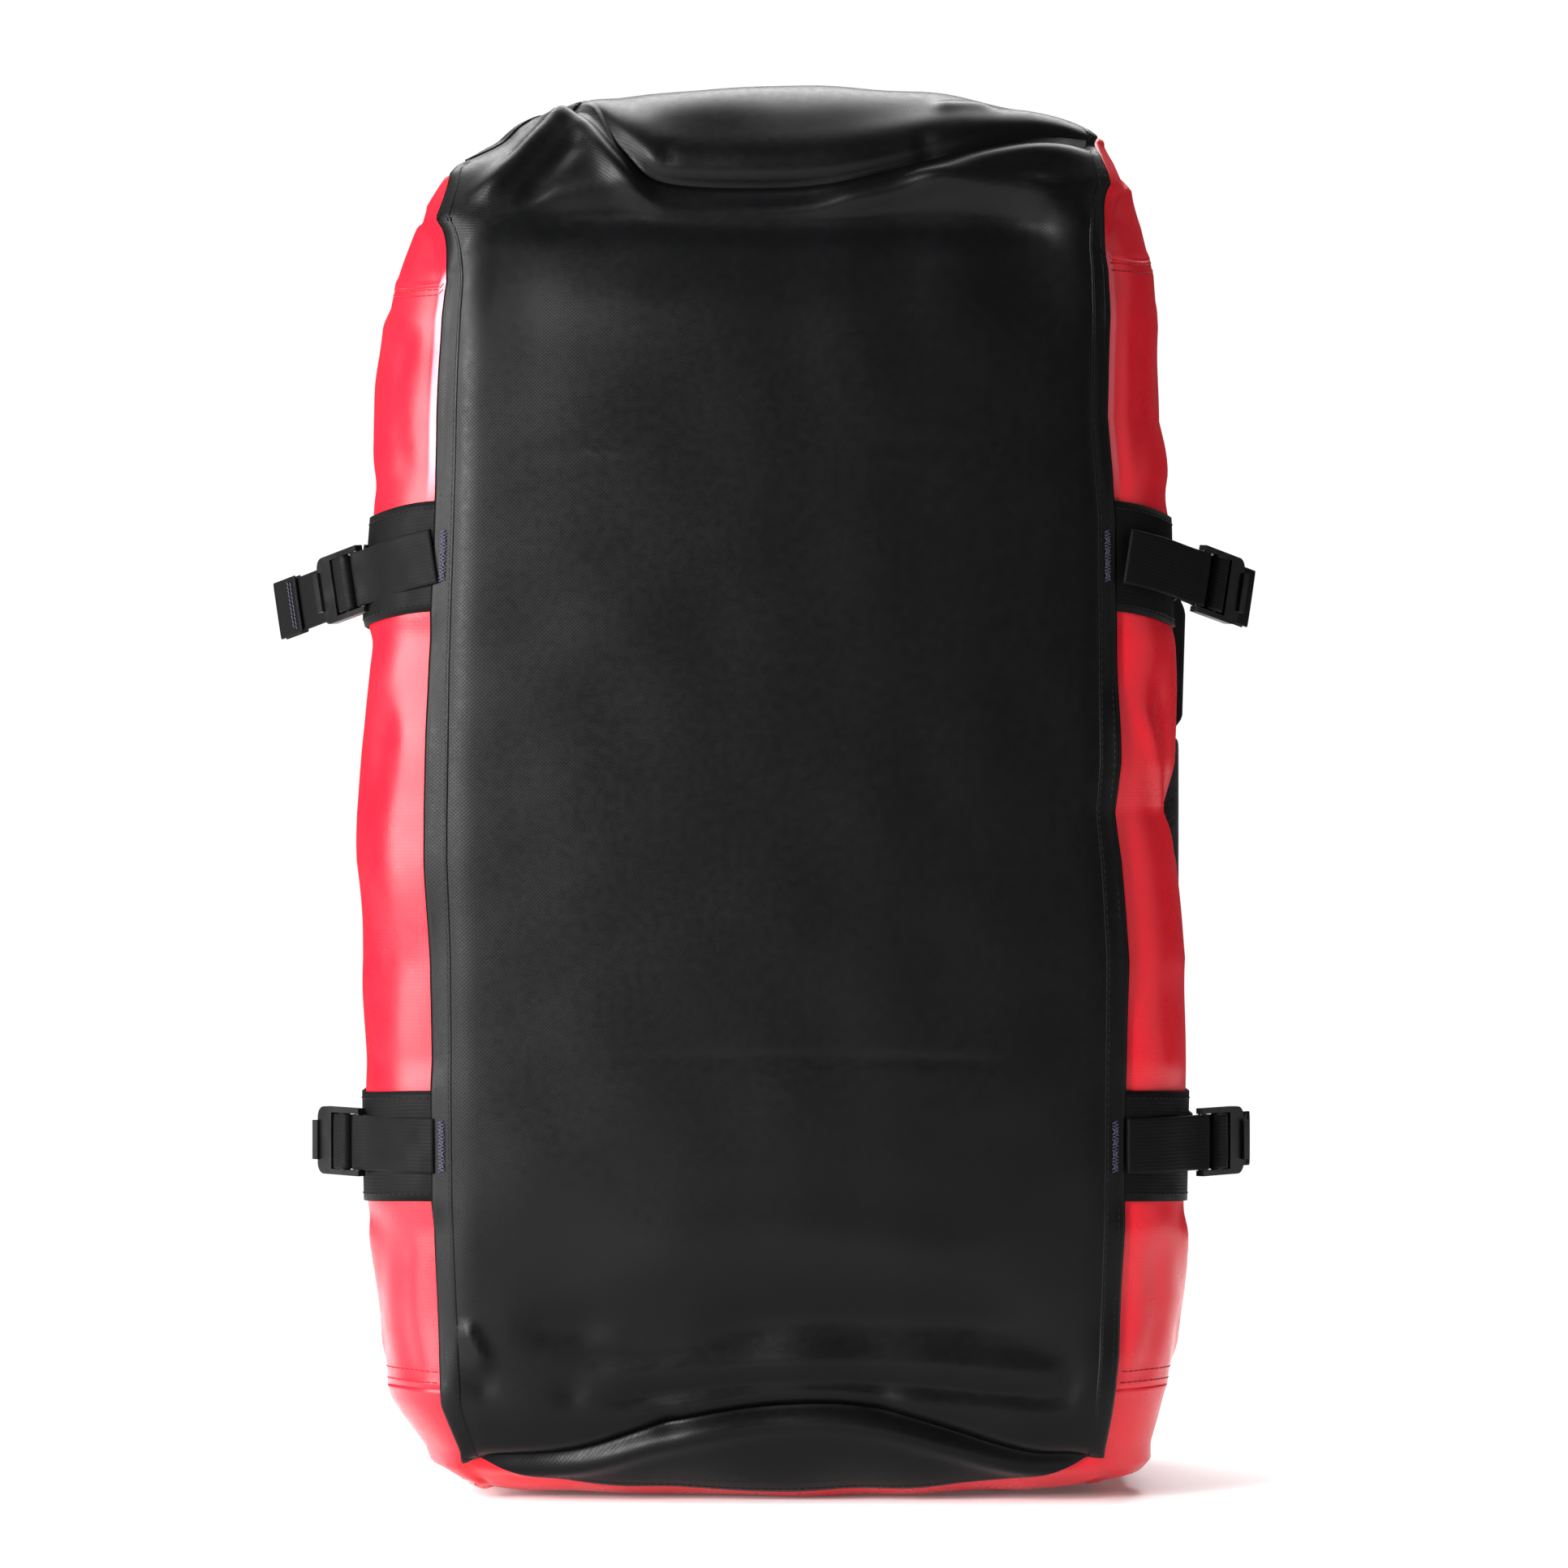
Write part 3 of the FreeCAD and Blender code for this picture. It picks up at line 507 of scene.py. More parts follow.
class Finish:
    """A procedural material, built up node by node."""

    def __init__(self, name, colour, roughness, **constant):
        self.material = bpy.data.materials.new(name)
        self.material.use_nodes = True
        self.tree = self.material.node_tree
        self.shader = next(n for n in self.tree.nodes if n.type == "BSDF_PRINCIPLED")
        self.colour = solid(colour)
        self.put("Base Color", self.colour)
        self.put("Roughness", roughness)
        for socket, value in constant.items():
            self.put(socket.replace("_", " "), value)

    def put(self, socket, value):
        self.feed(self.shader.inputs[socket], value)

    def feed(self, socket, value):
        if isinstance(value, bpy.types.NodeSocket):
            self.tree.links.new(value, socket)
        elif value is not None:
            socket.default_value = value

    def node(self, kind, *inputs, out=0, **settings):
        n = self.tree.nodes.new("ShaderNode" + kind)
        for key, value in settings.items():
            setattr(n, key, value)
        for socket, value in zip(n.inputs, inputs):
            self.feed(socket, value)
        return n.outputs[out]

    def math(self, operation, *inputs):
        return self.node("Math", *inputs, operation=operation)

    def add(self, a, b):
        return self.math("ADD", a, b)

    def subtract(self, a, b):
        return self.math("SUBTRACT", a, b)

    def times(self, a, b):
        return self.math("MULTIPLY", a, b)

    def divide(self, a, b):
        return self.math("DIVIDE", a, b)

    def uv(self):
        split = self.tree.nodes.new("ShaderNodeSeparateXYZ")
        self.feed(split.inputs[0], self.node("UVMap", uv_map="skin"))
        return split.outputs[0], split.outputs[1]

    def place(self):
        return self.node("TexCoord", out=3)

    def noise(self, scale, detail=3.0, rough=0.5):
        return self.node("TexNoise", self.place(), 0.0, scale, detail, rough)

    def span(self, value, low, high, to_low=0.0, to_high=1.0):
        return self.node("MapRange", value, low, high, to_low, to_high)

    def mottle(self, scale, detail, to_low, to_high):
        """Noise between two values."""
        return self.span(self.noise(scale, detail), 0.3, 0.7, to_low, to_high)

    def mix(self, share, a, b):
        return self.node("Mix", share, None, None, None, None, None, solid(a) if isinstance(a, tuple) else a,
                         solid(b), out=2, data_type="RGBA")

    def darken(self, value, high, share, colour, dark):
        """Base colour: the colour, with some of the dark one where value is low. Used for painted shade in
        the low places of a weave, rib or twist.
        """
        self.put("Base Color", self.mix(self.span(value, 0.0, high, share, 0.0), colour, dark))

    def bump(self, height, distance, strength, after=None):
        n = self.tree.nodes.new("ShaderNodeBump")
        given = {"Strength": strength, "Distance": distance, "Height": height, "Normal": after}
        for socket, value in given.items():
            self.feed(n.inputs[socket], value)
        return n.outputs[0]

    def thread(self, coordinate, pitch):
        """0 between two threads, 1 on a thread's top."""
        return self.math("ABSOLUTE", self.math("SINE", self.times(coordinate, math.pi / pitch)))

    def weave(self, u, v, pitch):
        """Height of a plain weave, 0 to 1."""
        cell = self.add(self.math("FLOOR", self.divide(u, pitch)), self.math("FLOOR", self.divide(v, pitch)))
        over = self.math("FLOORED_MODULO", cell, 2.0)
        long_u, long_v = self.span(over, 0.0, 1.0, 0.35, 1.0), self.span(over, 0.0, 1.0, 1.0, 0.35)
        return self.times(self.math("POWER", self.thread(u, pitch), long_u),
                          self.math("POWER", self.thread(v, pitch), long_v))


def laminate():
    """Woven scrim under a glossy film. The weave shows through, and scuffs dull it."""
    f = Finish("red_laminate", (0.62, 0.006, 0.016), 0.3, Specular_IOR_Level=0.20, Coat_Weight=0.13,
               Coat_Roughness=0.27)
    u, v = f.uv()
    weave = f.weave(u, v, 0.0016)
    scuff = f.noise(34.0, 5.0, 0.65)
    tone = f.mix(f.mottle(7.0, 3.0, 0.0, 1.0), (0.53, 0.005, 0.014), (0.62, 0.008, 0.019))
    # Painted highlight: a pale strip on the laminate beside the base panel's hem, where its fold would catch
    # the light. It is stronger on the left side, towards the lamps, and broken up by the scuffs.
    out = f.math("ABSOLUTE", u)
    beside_hem = f.times(f.span(out, 0.1560, 0.1566), f.span(out, 0.1612, 0.1630, 1.0, 0.0))
    run = f.times(f.span(v, 0.452, 0.475), f.span(v, 0.596, 0.604, 1.0, 0.0))
    wear_and_painted_highlight = f.times(f.times(beside_hem, run), f.span(u, -0.1, 0.1, 0.7, 0.3))
    tone = f.mix(f.times(wear_and_painted_highlight, f.span(scuff, 0.35, 0.6, 0.7, 1.0)), tone, (0.72, 0.26, 0.31))
    # Darker between the threads of the weave: partly the scrim showing through the film, partly painted
    # shade.
    f.darken(weave, 0.35, 0.22, tone, (0.30, 0.002, 0.006))
    f.put("Roughness", f.span(scuff, 0.35, 0.75, 0.24, 0.46))
    f.put("Normal", f.bump(f.noise(120.0, 4.0), 0.0003, 0.2, f.bump(weave, 0.00005, 0.4)))
    return f.material


def ballistic():
    """Coarse black basket weave with a dry sheen."""
    f = Finish("ballistic_nylon", (0.002, 0.0022, 0.0024), 0.45, Specular_IOR_Level=0.12)
    u, v = f.uv()
    weave = f.weave(f.add(u, v), f.subtract(u, v), 0.0017)
    wear = f.span(f.noise(26.0, 5.0, 0.7), 0.35, 0.7)
    # Painted shade: the weave is darker in its low places, between the threads.
    f.darken(weave, 0.7, 0.75, f.mix(wear, (0.0016, 0.0017, 0.0019), (0.0021, 0.0022, 0.0025)),
             (0.0003, 0.0003, 0.0004))
    f.put("Roughness", f.add(f.mottle(260.0, 2.0, 0.32, 0.40), f.span(weave, 0.0, 0.25, 0.4, 0.0)))
    f.put("Normal", f.bump(weave, 0.00010, 0.22))
    return f.material


def webbing_finish(name, colour, rib=0.0016):
    """Narrow ribs along the strap, crossed by fine wefts. u runs across it."""
    f = Finish(name, colour, 0.6, Specular_IOR_Level=0.07)
    u, v = f.uv()
    ribs = f.thread(u, rib)
    wefts = f.thread(f.add(v, f.times(ribs, 0.0003)), 0.00085)
    height = f.times(f.math("POWER", ribs, 0.6), f.span(wefts, 0.0, 1.0, 0.6, 1.0))
    # Painted shade: darker in the low places between the ribs and the wefts.
    f.darken(height, 0.8, 0.8, f.colour, solid(colour, 0.3))
    f.put("Roughness", f.mottle(90.0, 3.0, 0.52, 0.70))
    f.put("Normal", f.bump(height, 0.00016, 0.5))
    return f.material


def moulded(name, colour, roughness, grain=900.0, **constant):
    """Moulded plastic or cast metal: a fine grain, and handling marks."""
    f = Finish(name, colour, roughness, **constant)
    marks = f.noise(60.0, 5.0, 0.7)
    wear_and_painted_highlight = tuple(min(1.0, c * 1.5 + 0.004) for c in colour)
    f.put("Base Color", f.mix(f.span(marks, 0.5, 0.8, 0.0, 0.5), f.colour, wear_and_painted_highlight))
    f.put("Roughness", f.span(marks, 0.3, 0.75, roughness * 0.85, min(1.0, roughness * 1.3)))
    f.put("Normal", f.bump(f.noise(grain, 2.0), 0.0001, 0.3))
    return f.material


def thread_finish(name, colour):
    """Two-ply thread: its twist shows as slanting ridges."""
    f = Finish(name, colour, 0.5, Specular_IOR_Level=0.12)
    twist = f.thread(f.add(*f.uv()), 0.0016)
    # Painted shade: darker in the grooves of the twist.
    f.darken(twist, 0.6, 0.6, f.colour, solid(colour, 0.4))
    f.put("Normal", f.bump(twist, 0.0001, 0.5))
    return f.material


def knit_mesh():
    """Open knitted mesh: round holes in staggered rows."""
    f = Finish("mesh", (0.016, 0.016, 0.018), 0.7, Sheen_Weight=0.1)
    u, v = f.uv()
    pitch = 0.0034
    row = f.divide(v, pitch * 0.866)
    shift = f.times(f.math("FLOORED_MODULO", f.math("FLOOR", row), 2.0), 0.5)
    x = f.subtract(f.math("FRACT", f.add(f.divide(u, pitch), shift)), 0.5)
    y = f.subtract(f.math("FRACT", row), 0.5)
    radius = f.math("SQRT", f.add(f.times(x, x), f.times(y, y)))
    f.put("Alpha", f.math("GREATER_THAN", radius, 0.33))
    f.put("Normal", f.bump(radius, 0.0004, 0.8))
    return f.material


def film():
    """A clear window, slightly rippled."""
    f = Finish("clear_film", (0.9, 0.92, 0.94), 0.12, Transmission_Weight=0.9, IOR=1.45, Coat_Weight=0.3)
    f.put("Roughness", f.mottle(70.0, 4.0, 0.06, 0.22))
    f.put("Normal", f.bump(f.noise(45.0, 2.0), 0.0004, 0.3))
    return f.material


def pad_cloth(name, colour):
    """Soft knit over foam, with a small honeycomb relief."""
    f = Finish(name, colour, 0.75, Specular_IOR_Level=0.22, Sheen_Weight=0.04, Sheen_Roughness=0.5)
    gap = f.node("TexVoronoi", f.place(), 0.0, 420.0)
    f.put("Base Color", f.mix(f.span(gap, 0.2, 0.7, 0.0, 0.8), f.colour, solid(colour, 0.35)))
    f.put("Roughness", f.mottle(90.0, 3.0, 0.66, 0.85))
    f.put("Normal", f.bump(gap, 0.0005, 0.8))
    return f.material


RED = laminate()
BLACK = ballistic()
WEBBING = webbing_finish("webbing", (0.0022, 0.0021, 0.0023))
BINDING = webbing_finish("binding", (0.014, 0.0145, 0.0155), rib=0.0011)
TAPE = webbing_finish("zip_tape", (0.012, 0.0125, 0.0135), rib=0.0007)
GRIP = pad_cloth("grip_cover", (0.0065, 0.0066, 0.0071))
COIL = moulded("zip_coil", (0.016, 0.0165, 0.018), 0.35)
METAL = moulded("slider_metal", (0.055, 0.056, 0.060), 0.32, Metallic=0.9)
RUBBER = moulded("pull_rubber", (0.016, 0.016, 0.017), 0.6)
PLASTIC = moulded("buckle_plastic", (0.0020, 0.0020, 0.0023), 0.34, Specular_IOR_Level=0.28)
CARD = moulded("card", (0.78, 0.77, 0.73), 0.8, grain=500.0)
FILM = film()
MESH = knit_mesh()
PAD = pad_cloth("pad_fabric", (0.0070, 0.0072, 0.0078))
THREAD = thread_finish("stitching", (0.004, 0.0038, 0.0044))
RED_THREAD = thread_finish("red_stitching", (0.36, 0.006, 0.014))
TACK = thread_finish("bar_tacks", (0.050, 0.044, 0.072))


# Base side

PANEL_OFF, PATCH_OFF = 0.0021, 0.0016  # how far the black cloth lies off the skin
PATCH_T = 0.0010
OVERLAP = 0.0012  # of a patch under the base panel


def panel_edge(v):
    """Half the width of the black cloth: its corners are rounded."""
    beyond = np.maximum(np.maximum(v - 0.604, 0.040 - v), 0)
    return PANEL_HALF - 0.026 * np.clip(beyond / 0.075, 0, 1.3) ** 2


def black_cloth(name, low, high, rows, off, thickness, node):
    """Black cloth between two lines, both functions of s. It lies flat on the floor under the end."""
    s, t = steps(-PANEL_HALF, PANEL_HALF), np.linspace(0, 1, rows)[:, None]
    v = low(s) * (1 - t) + high(s) * t
    off = off * (0.4 + 0.6 * smooth(v, -0.03, 0.03))
    cloth(name, s / PANEL_HALF * panel_edge(v), v, off, thickness, BLACK, node)


def top_seam(s):
    return seam_height(TOP_SEAM, s)


def low_seam(s):
    return seam_height(LOW_SEAM, s)


def hem_top(s):
    return V_HIGH - 0.004 - 0.012 * np.abs(s / PANEL_HALF) ** 3


def hem_low(s):
    return 0.0110 * np.abs(s / 0.128) ** 2.5 - 0.0040


black_cloth("base_panel_cloth", low_seam, top_seam, 224, PANEL_OFF, CLOTH_T, "base_panel")
black_cloth("end_patch_top_cloth", lambda s: top_seam(s) - OVERLAP, hem_top, 34, PATCH_OFF, PATCH_T,
            "end_patch_top")
black_cloth("end_patch_bottom_cloth", hem_low, lambda s: low_seam(s) + OVERLAP, 30, PATCH_OFF, PATCH_T,
            "end_patch_bottom")
s, v = np.meshgrid(steps(-SEAM_S - 0.004, SEAM_S + 0.004, 0.006), steps(END_R, HEIGHT - END_R, 0.006))
cloth("base_lining_cloth", s, v, -0.0012, 0.0010, RED, "base_lining")

# Hems and stitching of the black cloth
for side, way in SIDES.items():
    v = steps(0.014, 0.650, 0.003)
    for row, inset in (("outer", 0.0023), ("inner", 0.0080)):
        stitches(f"base_stitches_{row}_{side}", way * (panel_edge(v) - inset), v, PANEL_OFF + 0.0001, THREAD,
                 "base_panel")
    # The turned hem stands up along the panel's edge.
    t = np.linspace(-1, 1, 9)
    v = steps(0.012, 0.655)[:, None]
    rise = 0.0005 * (1 - np.abs(t) ** 6) - 0.0002
    s = way * (panel_edge(v) - 0.0046) + 0.0054 * t
    cloth(f"base_hem_{side}", s, v, PANEL_OFF + rise, 0.0004, BLACK, "base_panel")

x = steps(-0.118, 0.118, 0.003)
for name, hem, way in (("top", hem_top, -1), ("bottom", hem_low, 1)):
    for row, inset in (("outer", 0.0025), ("inner", 0.0085)):
        stitches(f"patch_stitches_{name}_{row}", x / PANEL_HALF * panel_edge(hem(x)), hem(x) + way * inset,
                 PATCH_OFF * 0.7, THREAD, f"end_patch_{name}")

# Red panels

v_wall = steps(END_R, HEIGHT - END_R)
for side, way in SIDES.items():
    s = steps(SEAM_S, TOP_START + 0.001) * way
    s, v = np.meshgrid(s[::way], v_wall)
    cloth(f"side_panel_cloth_{side}", s, v, 0.0, CLOTH_T, RED, f"side_panel_{side}")


def d_outline(margin):
    """The zip's D, as x and z, grown by margin. From the hinge line along the lower run and round to it."""
    r = ZIP_CORNER + margin
    low, high, left = ZIP_LOW - margin, ZIP_HIGH + margin, -HINGE_X - margin
    run = steps(HINGE_X, left + r, 0.004)[:-1]
    rise = steps(low + r, high - r, 0.004)[1:-1]
    turn = np.linspace(0, math.pi / 2, 17)
    near, far = r - r * np.sin(turn), r - r * np.cos(turn)
    level, upright = np.ones(len(run)), np.ones(len(rise))
    x = np.concatenate([run, left + near, left * upright, left + far, run[::-1]])
    z = np.concatenate([low * level, low + far, rise, high - near, high * level])
    return x, z


def zip_line(margin):
    x, z = d_outline(margin)
    return s_at(x), z


MARGIN = 0.009  # from the zip's middle to the cloth's edge
SPREAD = 1.6  # the outline's far corners come earlier on it than on the D
s_in, v_in = zip_line(MARGIN)
s_corner = float(s_at(ZIP_CORNER - HINGE_X))
share = SPREAD * np.clip((s_in - s_corner) / (s_in.max() - s_corner), 0, 1)
s_far = 2 * MIDDLE - TOP_START
s_out = np.where(s_in > s_corner, s_corner + (s_far - s_corner) * np.minimum(share, 1), s_in)
on_low, on_high = v_in < ZIP_LOW + ZIP_CORNER, v_in > ZIP_HIGH - ZIP_CORNER
rise = np.clip((share - 1) / (SPREAD - 1), 0, 1)
v_far = np.where(on_low, END_R, HEIGHT - END_R)
v_out = np.where(on_low | on_high, v_far * (1 - rise) + v_in * rise, v_in)
t = np.linspace(0, 1, 15)[:, None]
s, v = s_in * (1 - t) + s_out * t, v_in * (1 - t) + v_out * t
cloth("top_panel_cloth", s, v, 0.0, CLOTH_T, RED, "top_panel")
s, v = np.meshgrid(steps(TOP_START - 0.001, HINGE_S), v_wall)
cloth("top_panel_cloth_hinge_side", s, v, 0.0, CLOTH_T, RED, "top_panel")

FOLD_END = HINGE_S + 0.005  # the lid's own cloth starts here
lid_low, lid_high, lid_r = ZIP_LOW + MARGIN, ZIP_HIGH - MARGIN, ZIP_CORNER - MARGIN
lid_v = np.unique(np.concatenate([steps(lid_low, lid_high), lid_low + np.array([0.0006, 0.0015])]))
short = np.maximum(lid_r - np.minimum(lid_v - lid_low, lid_high - lid_v), 0)
lid_x = -HINGE_X + MARGIN + lid_r - np.sqrt(np.maximum(lid_r ** 2 - short ** 2, 0))
t = np.linspace(0, 1, 128)
lid_s = FOLD_END + (s_at(lid_x)[:, None] - FOLD_END) * t
cloth("lid_panel_cloth", lid_s, lid_v[:, None], 0.0, CLOTH_T, RED, "lid_panel")

# The cloth between the body's edge and the lid's edge.
across = steps(HINGE_S, FOLD_END, 0.0005)
s, v = np.meshgrid(np.concatenate([across, across[::-1]]), lid_v)
depth = np.repeat([0.0, -CLOTH_T], len(across))
lid_fold = mesh_piece("lid_fold_cloth", skin(s, v, depth), grid_faces(*s.shape, closed=True),
                      np.stack([s, v], -1), RED)
fold_from, fold_to = skin(np.array([HINGE_S, FOLD_END]), HEIGHT / 2)
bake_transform(lid_fold)


# Ends

RECESS_X, RECESS_Y, RECESS_DEPTH, RECESS_EDGE = 0.096, (0.046, 0.096), 0.0226, 0.004


def end_cap(name, edge, limit):
    """An end's red cloth: over the rounding, then in to the middle of the flat."""
    around, rows, cols = np.linspace(-MIDDLE, MIDDLE, 432, endpoint=False), 30, 432
    s, v = np.meshgrid(around, np.linspace(edge, limit, rows))
    ring = skin(s, v, -HULL_T * smooth(np.abs(v - edge), 0.0, 0.006))
    rim = ring[-1]
    centre = np.array([0.0, (BASE_Y - AXIS_Y) * 0.25 + AXIS_Y, rim[:, 2].mean()])
    t = np.linspace(0, 1, 40)[1:-1, None]
    flat = rim * (1 - t[..., None]) + centre * t[..., None]
    x, y = flat[..., 0], flat[..., 1]
    lumps = ripple(RIM, x, y) * 0.0012 * smooth(t, 0, 0.2)
    if name == "top":
        inside = smooth(t, 0, 0.5)
        fall = 0.012 * (np.abs(x) / 0.15) ** 2.3 * (1 - smooth(np.hypot(x, y - AXIS_Y), 0.15, 0.05))
        z = rim[:, 2] * (1 - inside) + (HEIGHT - 0.0016 - fall) * inside + lumps
        flat[..., 2] = np.minimum(z, HEIGHT - 0.0008)
    else:
        recess = smooth(RECESS_X - np.abs(x), -RECESS_EDGE, RECESS_EDGE)
        for place, start, end in ((RECESS_Y[0], 0, 1), (RECESS_Y[1], 1, 0)):
            recess = recess * (start + (end - start) * smooth(y, place - RECESS_EDGE, place + RECESS_EDGE))
        z = rim[:, 2] * (1 - smooth(t, 0, 0.3)) + FLOOR_GAP * 2 + np.abs(lumps)
        flat[..., 2] = np.maximum(z * (1 - recess), FLOOR_GAP * 2) + recess * RECESS_DEPTH
    points = np.concatenate([np.concatenate([ring, flat]).reshape(-1, 3), [flat[-1].mean(0)]])
    uv = np.concatenate([np.stack([s, v], -1), flat[..., :2]]).reshape(-1, 2)
    uv = np.concatenate([uv, [centre[:2]]])
    rows += len(flat)
    last, middle = (rows - 1) * cols, rows * cols
    faces = grid_faces(rows, cols, closed=True)
    faces += [(last + i, last + (i + 1) % cols, middle) for i in range(cols)]
    if name == "bottom":
        faces = [f[::-1] for f in faces]
    thicken(mesh_piece(f"end_cap_cloth_{name}", points, faces, uv, RED, f"end_cap_{name}"), CLOTH_T)


around = np.linspace(PANEL_HALF + 0.004, 2 * MIDDLE - PANEL_HALF - 0.004, 420)
around = np.where(around > MIDDLE, around - 2 * MIDDLE, around)
for name, edge, limit, way in (("top", HEIGHT - END_R, V_HIGH, -1), ("bottom", END_R, V_LOW, 1)):
    end_cap(name, edge, limit)
    for row, gap in (("outer", 0.0032), ("inner", 0.0088)):
        for side, run in (("right", around[around > 0]), ("left", around[around <= 0])):
            stitches(f"end_stitches_{name}_{row}_{side}", np.sort(run), edge + way * gap, 0.0001, RED_THREAD,
                     f"end_cap_{name}", "binding", pitch=0.0042, size=(0.0032, 0.0007, 0.0005))
    s, v = np.meshgrid(np.linspace(-MIDDLE, MIDDLE, 300), edge + np.linspace(-0.009, 0.009, 5))
    cloth(f"seam_binding_{name}", s, v, -0.0022, 0.0012, BINDING, "seam_bindings")


# Zip


def zip_tape(part, inner, outer):
    """One side's tape, between two margins from the zip's middle."""
    lines = zip_line(inner), zip_line(outer)
    n = min(len(s) for s, v in lines)
    (s0, v0), (s1, v1) = ([np.interp(np.linspace(0, len(q) - 1, n), np.arange(len(q)), q) for q in line]
                          for line in lines)
    t = np.linspace(0, 1, 6)[:, None]
    s, v = s0 * (1 - t) + s1 * t, v0 * (1 - t) + v1 * t
    cloth(f"zip_tape_cloth_{part}", s, v, -0.0022, 0.0008, TAPE, f"zip_tape_{part}", uv=(v, s))


def teeth(name, s, v, ds, dv, off, size, node):
    """A row of zip teeth on the skin. The zip runs along ds, dv."""
    scale = 0.001 / np.hypot(ds, dv)
    ds, dv = ds * scale, dv * scale
    across = skin(s - dv, v + ds) - skin(s + dv, v - ds)
    many(name, skin(s, v, off), across, outward(s, v), size, COIL, node)


ZIP_MIDDLE = 0.0028  # from the zip's middle to a row of teeth
GARAGE = 0.030  # the zip goes on beyond the hinge line
TOOTH, TOOTH_PITCH, TOOTH_OFF = (0.0032, 0.0013, 0.0024), 0.0021, -0.0006
zip_tape("body", 0.0026, 0.0160)
zip_tape("lid", -0.0160, -0.0026)
for part, way, node in (("body", 1, "top_panel"), ("lid", -1, "lid_panel")):
    s, v = zip_line(way * ZIP_MIDDLE)
    run = travelled(np.stack([s, v], -1))
    at = np.arange(0.001, run[-1], TOOTH_PITCH)
    s, v = np.interp(at, run, s), np.interp(at, run, v)
    teeth(f"zip_coil_teeth_{part}", s, v, np.gradient(s), np.gradient(v), TOOTH_OFF, TOOTH,
          f"zip_coil_{part}")
    for row, gap in (("", 0.003), ("_inner", 0.0075)):
        stitches(f"zip_stitches_{part}{row}", *zip_line(way * (MARGIN + gap)), 0.0001, THREAD, node)
garage = steps(float(s_at(HINGE_X + GARAGE - 0.0015)), HINGE_S, TOOTH_PITCH)
for level, z in ZIP_RUNS.items():
    for side, way in (("upper", 1), ("lower", -1)):
        teeth(f"zip_coil_garage_{level}_{side}", garage, z + way * ZIP_MIDDLE, 1, 0, TOOTH_OFF, TOOTH,
              "zip_coil_body")
for inset in (4, 10):
    stitches(f"hinge_stitches_{inset}", np.full(2, HINGE_S + inset * MM),
             (ZIP_LOW + 0.014, ZIP_HIGH - 0.014), 0.0001, THREAD, "lid_panel")


# Webbing on the sides


def strap_on_skin(name, way, s0, s1, z, width, off, thickness, finish, node, bend=0.0):
    """Webbing round the side. Its UV runs across the strap first, so that the ribs follow it."""
    s, t = np.meshgrid(way * steps(s0, s1, 0.0025)[::way], np.linspace(-0.5, 0.5, 13 if width > 0.03 else 9))
    v = z + t * width + bend * smooth(np.abs(s), s0, s0 + 0.06)
    cloth(name, s, v, off, thickness, finish, node, uv=(t * width, s))


BAND_START = PANEL_HALF - 0.003
BAND_END = WALL_END + HALF * math.radians(27)
LOAD_START = FLAT + CORNER_R * math.radians(78)
LOAD_END = WALL_END + HALF * math.radians(8)
BAND_SAG = {"low": -0.002, "high": -0.006}
LOAD_SAG = {"low": 0.0, "high": -0.006}
for side, way in SIDES.items():
    bands, loads = f"side_bands_{side}", f"load_straps_{side}"
    for level, z in BAND_Z.items():
        corner, load_z = f"{level}_{side}", z + LOAD_SAG[level]
        strap_on_skin(f"side_band_{corner}", way, BAND_START, BAND_END, z, BAND_W, 0.0018, STRAP_T, WEBBING,
                      bands, BAND_SAG[level])
        strap_on_skin(f"load_strap_{corner}", way, LOAD_START, LOAD_END, load_z, STRAP_W, 0.0036, STRAP_T,
                      WEBBING, loads)
        s = steps(BAND_START + 0.004, BAND_END - 0.002, 0.01)
        sagged = z + BAND_SAG[level] * smooth(s, BAND_START, BAND_START + 0.06)
        for edge, up in (("lower", -1), ("upper", 1)):
            stitches(f"band_stitches_{corner}_{edge}", way * s, sagged + up * (BAND_W / 2 - 0.0032), 0.0019,
                     THREAD, bands, pitch=0.0036)
        # Each load strap is held down at its far end, and each anchor strap on the base panel's hem.
        for i, back in enumerate((0.004, 0.022)):
            zigzag(f"load_tack_{corner}_{i}", way * (LOAD_END - back), load_z, 0.0105, 24, 0.0011, 0.0022,
                   0.0038, loads)
        zigzag(f"anchor_tack_{corner}", way * (PANEL_HALF - 0.0046), z, 0.0115, 30, 0.0010, 0.0021,
               PANEL_OFF + 0.0009, f"anchor_strap_{corner}")


# Compression straps and their ladder locks. Local axes as in the lock: X along the strap from the
# anchor bar, Y towards the bag, Z across the strap.

FLIP = {side: Matrix.Diagonal((way, 1, 1, 1)) for side, way in SIDES.items()}
LOCK_LEAVES = math.radians(52)  # where the strap leaves the corner
LOCK_REACH = 0.022
ANCHOR_OFFSET = 0.0028
START_ANGLE = math.asin((0.1555 - FLAT) / CORNER_R)
DROOP = math.radians(11)
BAR_LOOP_R = 0.0028
FREE_Y = 0.0034  # of the free end, behind the lock
# How far the free end goes beyond the lock, and whether it is folded over and sewn
FREE_ENDS = {("low", "left"): (0.001, False), ("low", "right"): (0.012, False),
             ("high", "left"): (0.042, True), ("high", "right"): (0.014, True)}


def axes(at, along, inward):
    """A frame at a point, with X along and Y inward."""
    return Matrix.Translation(at) @ Matrix((along, inward, along.cross(inward))).transposed().to_4x4()


def direction(m, v):
    return np.array((m.to_3x3() @ Vector(v)).normalized())


def placed(m, points):
    return np.array([m @ Vector(p) for p in points])


def corner_point(angle):
    """Where an anchor strap runs round the right-hand corner."""
    r = CORNER_R + ANCHOR_OFFSET
    return Vector((FLAT + r * math.sin(angle), CORNER_Y - r * math.cos(angle), 0))


